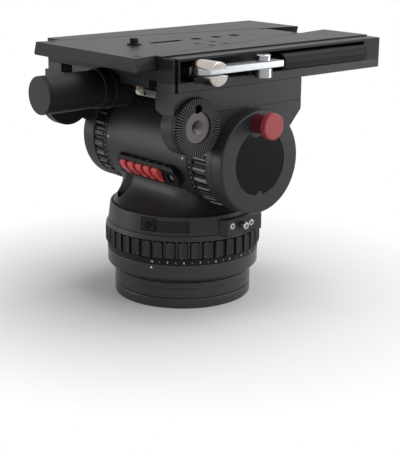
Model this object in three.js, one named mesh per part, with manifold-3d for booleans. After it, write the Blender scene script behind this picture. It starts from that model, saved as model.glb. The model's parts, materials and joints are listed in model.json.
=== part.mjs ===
// A fluid video head for a flat base, in millimetres, with +Z up.
// The origin is the centre of the foot's underside, on the pan axis.
// The red knob is on the +X side and the lens points along +Y.
// Levels named Level are heights above the tilt axis, which runs along X.
import * as THREE from 'three';
import { mergeVertices } from 'three/addons/utils/BufferGeometryUtils.js';
import Module from 'manifold-3d';

const wasm = await Module();
wasm.setup();

// Clearances
const fitGap = 0.3;
const cutOverrun = 4;

// Numbers of flats on round forms
const largeSteps = 40;
const mediumSteps = 24;
const smallSteps = 16;
const filletSteps = 2;
const hexSides = 6;

// Foot and barrel of the base
const footRadius = 75;
const footPlateHeight = 10.5;
const footChamfer = 1.2;
const footBoltRadius = 4.8;
const footBoltCircle = 56;
const footBoltCount = 4;
const footGrooveDepth = 1;
const footGrooveHeight = 1;
const footWallHeight = 18.8;
const footFloorThickness = 3.2;
const flareHeight = 5.4;
const barrelRadius = 82.75;
const barrelHeight = 15.2;
const barrelChamfer = 0.8;
const neckRadius = 68;
const neckBore = 58;

// Pan drag dial
const panBandHeight = 5.9;
const panBandRadius = 83;
const panRibHeight = 19.9;
const panRibRadius = 85.2;
const panValleyRadius = 81.5;
const panRibCount = 40;
const panRibShare = 0.66;
const panRibEdgeShare = 0.06;

// Pan spindle, its bearings and the fluid drag rings
const spindleFlangeRadius = 32;
const spindleFlangeThickness = 5.7;
const spindleRadius = 18;
const spindleTop = 96;
const panBearingWidth = 10;
const panBearingRadius = 34;
const lowerBearingBottom = 24;
const upperBearingBottom = 84;
const hubWall = 11.7;
const hubBottom = 22;
const panDragHeight = 46;

// Pan housing
const collarHeight = 5;
const seamDepth = 0.8;
const seamHeight = 0.4;
const bandHeight = 18.5;
const bandLowRadius = 82;
const bandDraft = 2.5;
const bandHighRadius = bandLowRadius - bandDraft;
const collarStep = 0.3;
const collarHighRadius = bandLowRadius + collarStep;
const collarLowRadius = collarHighRadius + bandDraft;
const rimRound = 1.5;
const boreCeiling = 1;
const saddleRootStep = 2;
const saddleRootRadius = bandHighRadius - saddleRootStep;
const saddleTopDrop = 34.5;
const saddleLeftInset = 2.5;
const saddleRightInset = 5.4;
const saddleHalfDepth = 43.5;
const saddleLevels = 4;
const saddleSquareness = 5;
const sidePocketFloor = 1.6;
const sidePocketXShares = [-0.72, -0.378, -0.451];
const sidePocketYShares = [-0.561, -0.433, -0.744];
const ringRelief = 1.2;

// Level panel, its button and the battery behind its door
const panelAngles = [-73.2, -60.4];
const panelBottom = 85.6;
const panelHeight = 13.6;
const panelThickness = 3;
const panelProud = 0.4;
const buttonAngle = -67.4;
const buttonHeight = 91.6;
const buttonRadius = 3.2;
const buttonLength = 8;
const buttonTravel = 1.2;
const doorAngles = [-59.4, -35.7];
const doorBottom = 86;
const doorHeight = 10.5;
const doorThickness = 2.6;
const batteryWidth = 26;
const batteryDepth = 14;
const batteryHeight = 8.5;

// Brake block on the side of the pan housing
const blockSeat = 16;
const blockInnerX = bandLowRadius - blockSeat;
const blockProud = 4.5;
const blockOuterX = bandLowRadius + blockProud;
const blockRearY = -17.5;
const blockFrontY = 42;
const blockBevelX = 6.5;
const blockBevelY = 5.5;
const blockBottom = 80;
const blockHeight = 17;
const brakeScrewY = [-5.4, 21.8];
const brakeScrewZ = [89.6, 89.2];
const brakeScrewRadius = 3.4;
const brakeScrewLength = 9;
const brakeScrewProud = 0.4;
const socketRadius = 1.7;
const socketDepth = 2;
const brakeSpindleY = 8;
const brakeSpindleZ = 89.5;
const brakeSpindleRadius = 2.8;
const brakeSpindleLength = 12;
const brakeCapRadius = 4;
const brakeCapLength = 7;

// Fluid drum, its shaft, bearings, springs and drag rings
const tiltAxisHeight = 163.5;
const drumRadius = 52.5;
const drumLeft = 68.5;
const drumRight = 65.4;
const saddleLeft = drumLeft - saddleLeftInset;
const saddleRight = drumRight - saddleRightInset;
const drumNeckRadius = 45.7;
const drumBore = 38;
const shaftRadius = 14;
const shaftInCap = 8;
const tiltBearingWidth = 14;
const tiltBearingInset = 3.5;
const springPackBore = 16;
const springPackClearance = 5;
const tiltDragInset = 4;

// Tilt drag dials
const leftRingWidth = 21.6;
const rightRingWidth = 29.6;
const leftScaleWidth = 6.2;
const rightScaleWidth = 9.2;
const tiltRibRadius = 53.6;
const tiltValleyRadius = 50.9;
const tiltRibCount = 32;
const tiltRibShare = 0.62;
const tiltRibEdgeShare = 0.06;

// Counterbalance switches on the drum
const switchBlockLeft = 42;
const switchBlockRight = 56.5;
const switchBlockAngle = 22.5;
const switchBlockWidth = 23.4;
const switchBlockHeight = 7;
const switchBlockBevel = 3;
const switchCorner = 2;
const switchCount = 5;
const switchPitch = 13.4;
const firstSwitchX = -26.4;
const switchWidth = 8.6;
const switchTailY = -7.7;
const switchFootRearY = 3;
const switchFootFrontY = 6.6;
const switchFootDepth = 4.7;
const switchPocketDepth = 5.3;
const switchHeelRise = 0.4;
const switchWindowMargin = 0.8;
const switchNoseY = [8.4, 10.5, 11.5, 10.1, 7.6, 4.4, 0.7, -4.5];
const switchNoseHeight = [0.8, 1.5, 2.8, 4.8, 5.5, 5.1, 3.9, 1.1];
const switchScrewX = 44;
const switchScrewRadius = 3.4;
const switchScrewRecess = 2;
const switchSeatRadius = 4.9;
const switchScrewLength = 5;

// Cheeks and the bosses for the pan bars
const capRadius = 53.3;
const rightCheekInner = 96.3;
const rightCheekThickness = 7.7;
const leftCheekInner = 91;
const leftCheekThickness = 21;
const leftBossInset = 14;
const bossRearY = -74.9;
const bossLevel = 43;
const bossRadius = 28.9;
const rightBossInner = 87.5;
const bossWebTurn = 12;
const cheekFrontY = 73.5;
const cheekNoseHeight = 9.6;
const cheekSlopeY = 58.7;
const cheekSlopeLevel = 28.9;
const cheekFootY = 49.8;
const cheekFootLevel = 19.3;
const rosetteThickness = 6.2;
const toothCount = 60;
const toothDepth = 1.5;
const hubRadius = 15.7;
const hubRecess = 2;
const hubThreadRadius = 5.2;
const hubThreadDepth = 9;
const hubCountersink = 2;
const pinHoleOffset = 18.2;
const pinHoleRadius = 4.6;
const pinHoleDepth = 5;

// Round covers on the ends of the drum
const rightCapThickness = 15.6;
const capEdge = 2.4;
const leftCapRadius = 46;
const leftCapThickness = 5.4;
const leftCapProud = 1.4;
const labelRadius = 34;
const labelRecess = 2.2;
const labelThickness = 1.4;
const labelNotchRadius = 4;
const labelNotchLevel = -34;
const knobTabRadius = 14;

// Red lock knob
const lockKnobY = -5;
const lockKnobLevel = 40.5;
const lockStemRadius = 9.5;
const lockStemInCap = 8;
const lockStemProud = 17.5;
const lockFlangeRadius = 14;
const lockFlangeThickness = 6.5;
const lockFlangeEdge = 1;

// Platform beams, slab and clamp body
const beamClearance = 1.1;
const beamHeight = 23;
const beamInnerX = 76.5;
const rightBeamOuterX = rightCheekInner + rightCheekThickness;
const leftBeamOuterX = leftCheekInner + leftCheekThickness;
const beamRearY = -101;
const beamChamferX = 10.7;
const beamChamferZ = 4.4;
const slabThickness = 9;
const platformHalfWidth = 104;
const platformRearY = -102;
const platformFrontY = 196;
const slabSlotInset = 25;
const slabSlotOuterX = platformHalfWidth - slabSlotInset;
const slabSlotWidth = 15;
const slabSlotInnerX = slabSlotOuterX - slabSlotWidth;
const slabSlotFrontY = -35;
const slabTongueInset = 3;
const clampHeight = 24.3;
const railWidth = 18;
const clampRightX = platformHalfWidth - railWidth;
const channelDepth = 14.1;
const railHeight = 22.9;
const railWall = 1.7;
const railTopThickness = 2.4;
const railPocketRearY = -93;
const endSlotRearY = -99.7;
const endSlotFrontY = -95.5;
const endSlotDepth = 4;
const gripBarRearY = 42;
const gripBarFrontY = 170;
const gripBarHeight = 17.5;
const gripBarProud = 7;

// Wedge shaped camera plate
const plateRearY = -131;
const plateFrontY = 148;
const plateRearInset = 21;
const plateRearHalfWidth = platformHalfWidth - plateRearInset;
const plateTaper = 54.5;
const plateFrontHalfWidth = plateRearHalfWidth - plateTaper;
const dovetailUndercut = 4.6;
const plateLowerChamfer = 1.6;
const studY = -66.6;
const studRadius = 4.8;
const studProud = 7.3;
const studFlangeRadius = 7.3;
const studFlangeThickness = 4;
const studFlangeProud = 1.2;
const plateSlotRearY = -46;
const plateSlotFrontY = -3.6;
const plateSlotWidth = 9;
const plateHoleY = [18.2, 46.7, 73.1];
const plateHoleRadius = 6.2;

// Balance screw below the platform
const knobLevel = 71.3;
const knobRadius = 19;
const knobRearY = -183.8;
const knobFrontY = -108;
const knobEdge = 1.2;
const knobLipRadius = 20.5;
const knobLipWidth = 3;
const housingRadius = 21;
const housingRearY = -106;
const housingFrontY = -80.5;
const screwPocketFrontY = -67;
const screwRadius = 6;
const screwFrontY = 12;
const platformTravel = 60;
const nutRadius = 10;
const nutRearY = -60;
const nutLength = 12;
const bracketThickness = 3;
const bracketHeight = 7.2;
const bracketBottomLevel = 55.3;
const bracketHoleX = 13;
const bracketHoleRadius = 2.4;

// Lever clamp
const leverPivotOut = 10.7;
const leverPivotX = platformHalfWidth + leverPivotOut;
const leverPivotY = 6.5;
const leverRearY = -81.2;
const leverFrontY = 26;
const leverWidth = 18.5;
const leverThickness = 6.5;
const leverBottomLevel = 95;
const pivotPostRadius = 9;
const pivotHoleRadius = 4;
const pivotHeadRadius = 7.3;
const pivotHeadHeight = 6;
const pivotPostHeight = 9.5;
const pivotArmRearY = -8;
const pivotArmFrontY = 14;
const pivotArmOut = 5;
const pivotArmHeight = 6;
const pivotArmLevel = 87.5;
const barrelClampY = -69;
const barrelClampLevel = 96.8;
const barrelClampRadius = 12;
const barrelClampInset = 15;
const barrelClampInnerX = platformHalfWidth - barrelClampInset;
const barrelClampOut = 29;
const barrelClampOuterX = platformHalfWidth + barrelClampOut;
const barrelClampEdge = 1;
const barrelSlotMargin = 1.6;

// Colours and finishes of the pieces
const finish = (color, roughness, metalness) =>
  new THREE.MeshStandardMaterial({ color, roughness, metalness });
const charcoal = finish(0x3d4046, 0.5, 0.35);
const darkCharcoal = finish(0x2b2d31, 0.5, 0.35);
const blackRubber = finish(0x1c1c1e, 0.75, 0);
const blackGloss = finish(0x0b0b0d, 0.15, 0);
const blackPlastic = finish(0x161618, 0.5, 0);
const redPlastic = finish(0xc83c3c, 0.4, 0);
const steel = finish(0xb9b6b0, 0.3, 1);
const paleSteel = finish(0x857d7f, 0.4, 0.8);
const nickel = finish(0xc9beb4, 0.25, 1);
const bareAluminium = finish(0xd6d9de, 0.35, 1);
const brass = finish(0xb08d4a, 0.35, 1);
const batteryWrap = finish(0x4a5a6a, 0.6, 0);

// Turns a closed three.js geometry into a solid, with its faces pointing out.
function solid(geometry) {
  const bare = geometry.index ? geometry.clone() : geometry;
  bare.deleteAttribute('normal');
  bare.deleteAttribute('uv');
  const merged = mergeVertices(bare);
  const at = merged.attributes.position.array;
  const index = merged.index.array;
  const corners = [];
  let volume = 0;
  for (let i = 0; i < index.length; i += 3) {
    const [a, b, c] = [index[i], index[i + 1], index[i + 2]];
    if (a === b || b === c || c === a) continue;
    corners.push(a, b, c);
    const [p, q, r] = [a, b, c].map((k) => new THREE.Vector3().fromArray(at, 3 * k));
    volume += p.dot(q.cross(r));
  }
  if (volume < 0) corners.reverse();
  const vertProperties = Float32Array.from(at);
  const triVerts = Uint32Array.from(corners);
  return new wasm.Manifold(new wasm.Mesh({ numProp: 3, vertProperties, triVerts }));
}

// The closed outline of a list of points.
const outline = (points) => new THREE.Shape(points.map(([u, v]) => new THREE.Vector2(u, v)));

// Points on an arc, from one angle to another in degrees.
function arc(u, v, radius, from, to, steps) {
  const points = [];
  for (let i = 0; i <= steps; i += 1) {
    const angle = THREE.MathUtils.degToRad(from + ((to - from) * i) / steps);
    points.push([u + radius * Math.cos(angle), v + radius * Math.sin(angle)]);
  }
  return points;
}

// Turns a profile of [radius, height] points about Z, X or Y.
function turnedZ(profile, steps) {
  const points = profile.map(([radius, height]) => new THREE.Vector2(radius, height));
  return solid(new THREE.LatheGeometry(points, steps).rotateX(Math.PI / 2));
}
function turnedX(profile, steps) {
  const points = profile.map(([radius, height]) => new THREE.Vector2(radius, height));
  return solid(new THREE.LatheGeometry(points, steps).rotateZ(-Math.PI / 2));
}
function turnedY(profile, steps, x, z) {
  const points = profile.map(([radius, height]) => new THREE.Vector2(radius, height));
  return solid(new THREE.LatheGeometry(points, steps).translate(x, 0, z));
}

// A plain ring profile, closed on itself.
const ringProfile = (inner, outer, low, high) => {
  const corners = [[inner, low], [outer, low], [outer, high], [inner, high]];
  return [...corners, corners[0]];
};

// Straight extrusions. Along X the outline is (Y, Z), along Y it is (X, Z).
function extruded(shape, depth) {
  return new THREE.ExtrudeGeometry(shape, { depth, bevelEnabled: false, curveSegments: mediumSteps });
}
const extrudedZ = (shape, low, high) => solid(extruded(shape, high - low).translate(0, 0, low));
function extrudedX(shape, low, high) {
  const turn = new THREE.Matrix4().makeBasis(
    new THREE.Vector3(0, 1, 0), new THREE.Vector3(0, 0, 1), new THREE.Vector3(1, 0, 0));
  return solid(extruded(shape, high - low).applyMatrix4(turn).translate(low, 0, 0));
}
function extrudedY(shape, low, high) {
  const turn = new THREE.Matrix4().makeBasis(
    new THREE.Vector3(1, 0, 0), new THREE.Vector3(0, 0, 1), new THREE.Vector3(0, -1, 0));
  return solid(extruded(shape, high - low).applyMatrix4(turn).translate(0, high, 0));
}

// A box between two corners.
function box([x0, y0, z0], [x1, y1, z1]) {
  const geometry = new THREE.BoxGeometry(x1 - x0, y1 - y0, z1 - z0);
  return solid(geometry.translate((x0 + x1) / 2, (y0 + y1) / 2, (z0 + z1) / 2));
}

// Round bars along X, Y and Z.
function rodX(x0, x1, y, z, radius, steps = smallSteps) {
  const geometry = new THREE.CylinderGeometry(radius, radius, x1 - x0, steps).rotateZ(-Math.PI / 2);
  return solid(geometry.translate((x0 + x1) / 2, y, z));
}
function rodY(y0, y1, x, z, radius, steps = smallSteps) {
  const geometry = new THREE.CylinderGeometry(radius, radius, y1 - y0, steps);
  return solid(geometry.translate(x, (y0 + y1) / 2, z));
}
function rodZ(z0, z1, x, y, radius, steps = smallSteps) {
  const geometry = new THREE.CylinderGeometry(radius, radius, z1 - z0, steps).rotateX(Math.PI / 2);
  return solid(geometry.translate(x, y, (z0 + z1) / 2));
}

// A closed skin over rings of points, each ring with as many points as the others.
function skinned(rings) {
  const count = rings[0].length;
  const points = rings.flat();
  const middle = (ring) => ring.reduce((sum, p) => sum.add(p), new THREE.Vector3()).divideScalar(count);
  points.push(middle(rings[0]), middle(rings[rings.length - 1]));
  const index = [];
  const last = (rings.length - 1) * count;
  for (let j = 0; j < count; j += 1) {
    const next = (j + 1) % count;
    for (let i = 0; i < last; i += count) {
      index.push(i + j, i + next, i + count + next, i + j, i + count + next, i + count + j);
    }
    index.push(points.length - 2, next, j, points.length - 1, last + j, last + next);
  }
  const geometry = new THREE.BufferGeometry().setFromPoints(points);
  geometry.setIndex(index);
  return solid(geometry);
}

// Adds a solid to a group as a named mesh.
function addPiece(group, name, body, material) {
  const { vertProperties, triVerts } = body.getMesh();
  const geometry = new THREE.BufferGeometry();
  geometry.setAttribute('position', new THREE.BufferAttribute(Float32Array.from(vertProperties), 3));
  geometry.setIndex(Array.from(triVerts));
  geometry.computeVertexNormals();
  const mesh = new THREE.Mesh(geometry, material);
  mesh.name = name;
  group.add(mesh);
  return mesh;
}

// The outline of a ribbed grip ring.
function ribbedOutline(crest, valley, count, ribShare, edgeShare, bore) {
  const points = [];
  const pitch = (2 * Math.PI) / count;
  const half = (pitch * ribShare) / 2;
  const edge = pitch * edgeShare;
  const stops = [[-half - edge, valley], [-half, crest], [half, crest], [half + edge, valley]];
  for (let i = 0; i < count; i += 1) {
    for (const [turn, radius] of stops) {
      points.push([radius * Math.cos(i * pitch + turn), radius * Math.sin(i * pitch + turn)]);
    }
  }
  const shape = outline(points);
  shape.holes.push(outline(arc(0, 0, bore, 0, 360, largeSteps).slice(0, largeSteps)));
  return shape;
}

// Base: stands still and carries everything
const base = new THREE.Group();

const housingBottom = footPlateHeight + fitGap;
const floorTop = housingBottom + footFloorThickness;
const wallTop = housingBottom + footWallHeight;
const flareTop = wallTop + flareHeight;
const barrelTop = flareTop + barrelHeight;
const panRingBottom = barrelTop + fitGap;
const panRibBottom = panRingBottom + panBandHeight;
const panRingTop = panRibBottom + panRibHeight;
const hubBore = panBearingRadius + fitGap;
const panHubRadius = hubBore + hubWall;

// The foot plate is solid on the pan axis and has a circle of holes for the bolts that hold it down.
let footPlate = turnedZ([
  [0, 0],
  [footRadius - footChamfer, 0],
  [footRadius, footChamfer],
  [footRadius, footPlateHeight],
  [0, footPlateHeight],
], largeSteps);
for (let i = 0; i < footBoltCount; i += 1) {
  const hole = rodZ(-cutOverrun, footPlateHeight + cutOverrun, footBoltCircle, 0, footBoltRadius);
  footPlate = footPlate.subtract(hole.rotate([0, 0, (360 * i) / footBoltCount]));
}
addPiece(base, 'base_plate', footPlate, charcoal);

addPiece(base, 'base_housing', turnedZ([
  [0, housingBottom],
  [footRadius - footGrooveDepth, housingBottom],
  [footRadius - footGrooveDepth, housingBottom + footGrooveHeight],
  [footRadius, housingBottom + footGrooveHeight],
  [footRadius, wallTop],
  [barrelRadius, flareTop],
  [barrelRadius, barrelTop - barrelChamfer],
  [barrelRadius - barrelChamfer, barrelTop],
  [neckRadius, barrelTop],
  [neckRadius, panRingTop],
  [neckBore, panRingTop],
  [neckBore, floorTop],
  [0, floorTop],
], largeSteps), charcoal);

const flangeBottom = floorTop + fitGap;
const flangeTop = flangeBottom + spindleFlangeThickness;
addPiece(base, 'pan_spindle', turnedZ([
  [0, flangeBottom],
  [spindleFlangeRadius, flangeBottom],
  [spindleFlangeRadius, flangeTop],
  [spindleRadius, flangeTop],
  [spindleRadius, spindleTop],
  [0, spindleTop],
], mediumSteps), steel);

const bearingBore = spindleRadius + fitGap;
const panBearing = (bottom) => ringProfile(bearingBore, panBearingRadius, bottom, bottom + panBearingWidth);
addPiece(base, 'pan_bearing_lower', turnedZ(panBearing(lowerBearingBottom), mediumSteps), steel);
addPiece(base, 'pan_bearing_upper', turnedZ(panBearing(upperBearingBottom), mediumSteps), steel);

addPiece(base, 'pan_drag_cartridge', turnedZ(ringProfile(
  panHubRadius + fitGap, neckBore - fitGap, flangeBottom, flangeBottom + panDragHeight,
), largeSteps), darkCharcoal);

// Pan drag dial: turns on the neck of the base
const panDial = new THREE.Group();
const panDialBore = neckRadius + fitGap;
const panRibs = extrudedZ(ribbedOutline(
  panRibRadius, panValleyRadius, panRibCount, panRibShare, panRibEdgeShare, panDialBore,
), panRibBottom - fitGap, panRingTop);
const panNumberBand = turnedZ(
  ringProfile(panDialBore, panBandRadius, panRingBottom, panRibBottom), largeSteps);
addPiece(panDial, 'pan_drag_ring', panRibs.add(panNumberBand), blackRubber);

// Pan head: turns on the base
const panHead = new THREE.Group();

const collarBottom = panRingTop + fitGap;
const collarTop = collarBottom + collarHeight;
const bandBottom = collarTop + seamHeight;
const bandTop = bandBottom + bandHeight;
const rimTop = bandTop + rimRound;
const saddleRise = tiltAxisHeight - saddleTopDrop - rimTop;
const bandRound = arc(bandHighRadius - rimRound, bandTop, rimRound, 0, 90, filletSteps);
const boreTop = spindleTop + boreCeiling;
const panBlank = turnedZ([
  [0, boreTop],
  [hubBore, boreTop],
  [hubBore, hubBottom],
  [panHubRadius, hubBottom],
  [panHubRadius, collarBottom],
  [collarLowRadius, collarBottom],
  [collarHighRadius, collarTop],
  [bandLowRadius - seamDepth, collarTop],
  [bandLowRadius - seamDepth, bandBottom],
  [bandLowRadius, bandBottom],
  ...bandRound,
  [0, rimTop],
], largeSteps);

// The saddle goes from a circle on the rim to a squarer end under the drum.
function saddleRing(level) {
  const rise = level / (saddleLevels - 1);
  const blend = 1 - (1 - rise) ** 3;
  const points = [];
  for (let j = 0; j < largeSteps; j += 1) {
    const angle = (2 * Math.PI * (j + 0.5)) / largeSteps;
    const [c, s] = [Math.cos(angle), Math.sin(angle)];
    const squared = (value) => Math.sign(value) * Math.abs(value) ** (2 / saddleSquareness);
    const topX = squared(c) * (c < 0 ? saddleLeft : saddleRight);
    const topY = squared(s) * saddleHalfDepth;
    const x = THREE.MathUtils.lerp(saddleRootRadius * c, topX, blend);
    const y = THREE.MathUtils.lerp(saddleRootRadius * s, topY, blend);
    points.push(new THREE.Vector3(x, y, rimTop - rimRound + (saddleRise + rimRound) * rise));
  }
  return points;
}
const saddleRings = Array.from({ length: saddleLevels }, (_, level) => saddleRing(level));

const drumSeat = rodX(-drumLeft - cutOverrun, drumRight + cutOverrun, 0, tiltAxisHeight, drumRadius + fitGap,
  largeSteps);
const dialRelief = tiltRibRadius + ringRelief;
const farX = footRadius + barrelRadius;
const leftRelief = rodX(-farX, -drumLeft, 0, tiltAxisHeight, dialRelief, largeSteps);
const rightRelief = rodX(drumRight, farX, 0, tiltAxisHeight, dialRelief, largeSteps);
const pocketOutline = outline(sidePocketXShares.map((share, i) => [
  bandLowRadius * share,
  bandLowRadius * sidePocketYShares[i],
]));
const sidePocket = extrudedZ(pocketOutline, rimTop - sidePocketFloor, rimTop + saddleRise);

// A sector of the band between two angles and two heights.
function bandSector([from, to], low, high, inner, outer, grow) {
  const growAngle = THREE.MathUtils.radToDeg(grow / bandLowRadius);
  const outside = arc(0, 0, outer, from - growAngle, to + growAngle, filletSteps);
  const inside = arc(0, 0, inner - grow, to + growAngle, from - growAngle, filletSteps);
  return extrudedZ(outline([...outside, ...inside]), low - grow, high + grow);
}
const bandSkin = (proud) => turnedZ([
  [0, bandBottom],
  [bandLowRadius + proud, bandBottom],
  [bandHighRadius + proud, bandTop],
  [0, bandTop],
], largeSteps);

const panelTop = panelBottom + panelHeight;
const panelInner = bandHighRadius - panelThickness;
const doorTop = doorBottom + doorHeight;
const doorInner = bandHighRadius - doorThickness;
const panelSector = (outer, grow) => bandSector(panelAngles, panelBottom, panelTop, panelInner, outer, grow);
const doorSector = (outer, grow) => bandSector(doorAngles, doorBottom, doorTop, doorInner, outer, grow);

// A round bar that points out from the pan axis at an angle.
function radialRod(angle, height, radius, from, to) {
  return rodX(from, to, 0, height, radius).rotate([0, 0, angle]);
}
const buttonOuter = bandLowRadius;
const buttonInner = buttonOuter - buttonLength;
const buttonBore = buttonRadius + fitGap;
const buttonHole = radialRod(buttonAngle, buttonHeight, buttonBore,
  buttonInner - buttonTravel - fitGap, buttonOuter + cutOverrun);

// The battery lies behind its door, square to the middle of it.
const doorMiddle = (doorAngles[0] + doorAngles[1]) / 2;
const batteryMiddle = (doorBottom + doorTop) / 2;
function batteryBox(grow, outer) {
  const inner = doorInner - fitGap - batteryDepth;
  const low = [inner - grow, -batteryWidth / 2 - grow, batteryMiddle - batteryHeight / 2 - grow];
  const high = [outer, batteryWidth / 2 + grow, batteryMiddle + batteryHeight / 2 + grow];
  return box(low, high).rotate([0, 0, doorMiddle]);
}
const batterySag = doorInner * (1 - Math.cos(Math.asin(batteryWidth / 2 / doorInner)));
const batteryOuter = doorInner - fitGap - fitGap - batterySag;

const blockTop = blockBottom + blockHeight;
const blockCut = box(
  [blockInnerX - fitGap, blockRearY - fitGap, blockBottom - fitGap],
  [blockOuterX + cutOverrun, blockFrontY + fitGap, blockTop + fitGap]);
const panHousing = panBlank
  .add(skinned(saddleRings))
  .subtract(drumSeat)
  .subtract(leftRelief)
  .subtract(rightRelief)
  .subtract(sidePocket)
  .subtract(panelSector(bandLowRadius + cutOverrun, fitGap))
  .subtract(doorSector(bandLowRadius + cutOverrun, fitGap))
  .subtract(batteryBox(fitGap, doorInner))
  .subtract(buttonHole)
  .subtract(blockCut);
addPiece(panHead, 'pan_housing', panHousing, charcoal);

const panelPlate = panelSector(bandLowRadius + cutOverrun, 0).intersect(bandSkin(panelProud));
addPiece(panHead, 'level_panel', panelPlate.subtract(buttonHole), darkCharcoal);
const batteryDoor = doorSector(bandLowRadius + cutOverrun, 0).intersect(bandSkin(0));
addPiece(panHead, 'battery_door', batteryDoor, darkCharcoal);
addPiece(panHead, 'battery', batteryBox(0, batteryOuter), batteryWrap);

// Brake block with its two screws and the end of the brake spindle
const blockPlan = outline([
  [blockInnerX, blockRearY],
  [blockOuterX - blockBevelX, blockRearY],
  [blockOuterX, blockRearY + blockBevelY],
  [blockOuterX, blockFrontY - blockBevelY],
  [blockOuterX - blockBevelX, blockFrontY],
  [blockInnerX, blockFrontY],
]);
const screwInnerX = blockOuterX - brakeScrewLength;
const spindleInnerX = blockOuterX - brakeSpindleLength;
const screwBore = (i) => rodX(screwInnerX - fitGap, blockOuterX + cutOverrun, brakeScrewY[i], brakeScrewZ[i],
  brakeScrewRadius + fitGap);
const spindleBore = rodX(spindleInnerX - fitGap, blockOuterX + cutOverrun, brakeSpindleY, brakeSpindleZ,
  brakeSpindleRadius + fitGap);
const brakeBlock = extrudedZ(blockPlan, blockBottom, blockTop)
  .subtract(screwBore(0))
  .subtract(screwBore(1))
  .subtract(spindleBore);
addPiece(panHead, 'brake_block', brakeBlock, charcoal);
['brake_screw_rear', 'brake_screw_front'].forEach((name, i) => {
  const outer = blockOuterX + brakeScrewProud;
  const head = rodX(screwInnerX, outer, brakeScrewY[i], brakeScrewZ[i], brakeScrewRadius);
  const socket = rodX(outer - socketDepth, outer + cutOverrun, brakeScrewY[i], brakeScrewZ[i],
    socketRadius, hexSides);
  addPiece(panHead, name, head.subtract(socket), steel);
});

const brake = new THREE.Group();
const brakeCapInner = blockOuterX + fitGap;
const brakeCapOuter = brakeCapInner + brakeCapLength;
const brakeStem = rodX(spindleInnerX, brakeCapOuter - brakeCapLength / 2, brakeSpindleY, brakeSpindleZ,
  brakeSpindleRadius);
const brakeCap = rodX(brakeCapInner, brakeCapOuter, brakeSpindleY, brakeSpindleZ, brakeCapRadius);
const brakeSocket = rodX(brakeCapOuter - socketDepth, brakeCapOuter + cutOverrun,
  brakeSpindleY, brakeSpindleZ, socketRadius, hexSides);
addPiece(brake, 'brake_spindle', brakeStem.add(brakeCap).subtract(brakeSocket), steel);

const levelButton = new THREE.Group();
const buttonRod = radialRod(buttonAngle, buttonHeight, buttonRadius, buttonInner, buttonOuter);
addPiece(levelButton, 'level_button', buttonRod, blackPlastic);

// Fluid drum on the tilt axis
const drum = new THREE.Group();
drum.position.z = tiltAxisHeight;

const rightNeckEnd = rightCheekInner - fitGap;
const leftNeckEnd = leftCheekInner - fitGap;
const drumTube = turnedX([
  [drumBore, -leftNeckEnd],
  [drumNeckRadius, -leftNeckEnd],
  [drumNeckRadius, -drumLeft],
  [drumRadius, -drumLeft],
  [drumRadius, drumRight],
  [drumNeckRadius, drumRight],
  [drumNeckRadius, rightNeckEnd],
  [drumBore, rightNeckEnd],
  [drumBore, -leftNeckEnd],
], largeSteps);

addPiece(drum, 'drum_tube', drumTube, charcoal);

const bearingOuter = drumBore - fitGap;
const shaftBore = shaftRadius + fitGap;
const leftBearingX = -drumLeft + tiltBearingInset;
const rightBearingX = drumRight - tiltBearingInset - tiltBearingWidth;
const inDrum = (inner, low, high) => turnedX(ringProfile(inner, bearingOuter, low, high), mediumSteps);
addPiece(drum, 'tilt_bearing_left', inDrum(shaftBore, leftBearingX, leftBearingX + tiltBearingWidth), steel);
addPiece(drum, 'tilt_bearing_right',
  inDrum(shaftBore, rightBearingX, rightBearingX + tiltBearingWidth), steel);
addPiece(drum, 'spring_pack', inDrum(springPackBore,
  leftBearingX + tiltBearingWidth + springPackClearance, rightBearingX - springPackClearance), steel);
addPiece(drum, 'tilt_drag_left', inDrum(springPackBore,
  -leftNeckEnd + tiltDragInset, leftBearingX - fitGap), darkCharcoal);
addPiece(drum, 'tilt_drag_right', inDrum(springPackBore,
  rightBearingX + tiltBearingWidth + fitGap, rightNeckEnd - tiltDragInset), darkCharcoal);

// Switch block: made lying flat with its outer face up, then swung to its place on the drum.
// In the flat place X is along the drum, Y is up the drum and Z points out of it.
const switchFace = drumRadius + switchBlockHeight;
const swing = 90 + switchBlockAngle;
const onDrum = (body) => body.rotate([swing, 0, 0]);
const blockHalf = switchBlockWidth / 2;
const blockEndX = switchBlockRight - blockHalf;
const switchPlan = outline([
  [-switchBlockLeft + switchCorner, -blockHalf],
  ...arc(blockEndX, 0, blockHalf, -90, 90, mediumSteps / 2),
  [-switchBlockLeft + switchCorner, blockHalf],
  [-switchBlockLeft, blockHalf - switchCorner],
  [-switchBlockLeft, -blockHalf + switchCorner],
]);
const blockRoot = drumRadius / 2;
const switchSection = outline([
  [-blockHalf, blockRoot],
  [blockHalf, blockRoot],
  [blockHalf, switchFace - switchBlockBevel],
  [blockHalf - switchBlockBevel, switchFace],
  [-blockHalf + switchBlockBevel, switchFace],
  [-blockHalf, switchFace - switchBlockBevel],
]);
const switchBar = extrudedX(switchSection, -switchBlockLeft, switchBlockRight);
const switchStadium = extrudedZ(switchPlan, blockRoot, switchFace + cutOverrun);
const drumClear = rodX(-farX, farX, 0, 0, drumRadius + fitGap, largeSteps);
const lastSwitchX = firstSwitchX + (switchCount - 1) * switchPitch;
const switchHalfSpan = switchWidth / 2 + switchWindowMargin;
const switchWindow = box(
  [firstSwitchX - switchHalfSpan, switchFootRearY - switchWindowMargin, switchFace - switchPocketDepth],
  [lastSwitchX + switchHalfSpan, switchFootFrontY + switchWindowMargin, switchFace + cutOverrun]);
const switchScrewTop = switchFace - switchScrewRecess;
const screwSeat = rodZ(switchFace - switchScrewLength - fitGap, switchFace + cutOverrun, switchScrewX, 0,
  switchScrewRadius + fitGap)
  .add(rodZ(switchScrewTop, switchFace + cutOverrun, switchScrewX, 0, switchSeatRadius));
const switchBlock = switchBar
  .intersect(switchStadium)
  .subtract(drumClear)
  .subtract(switchWindow)
  .subtract(screwSeat);
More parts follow.
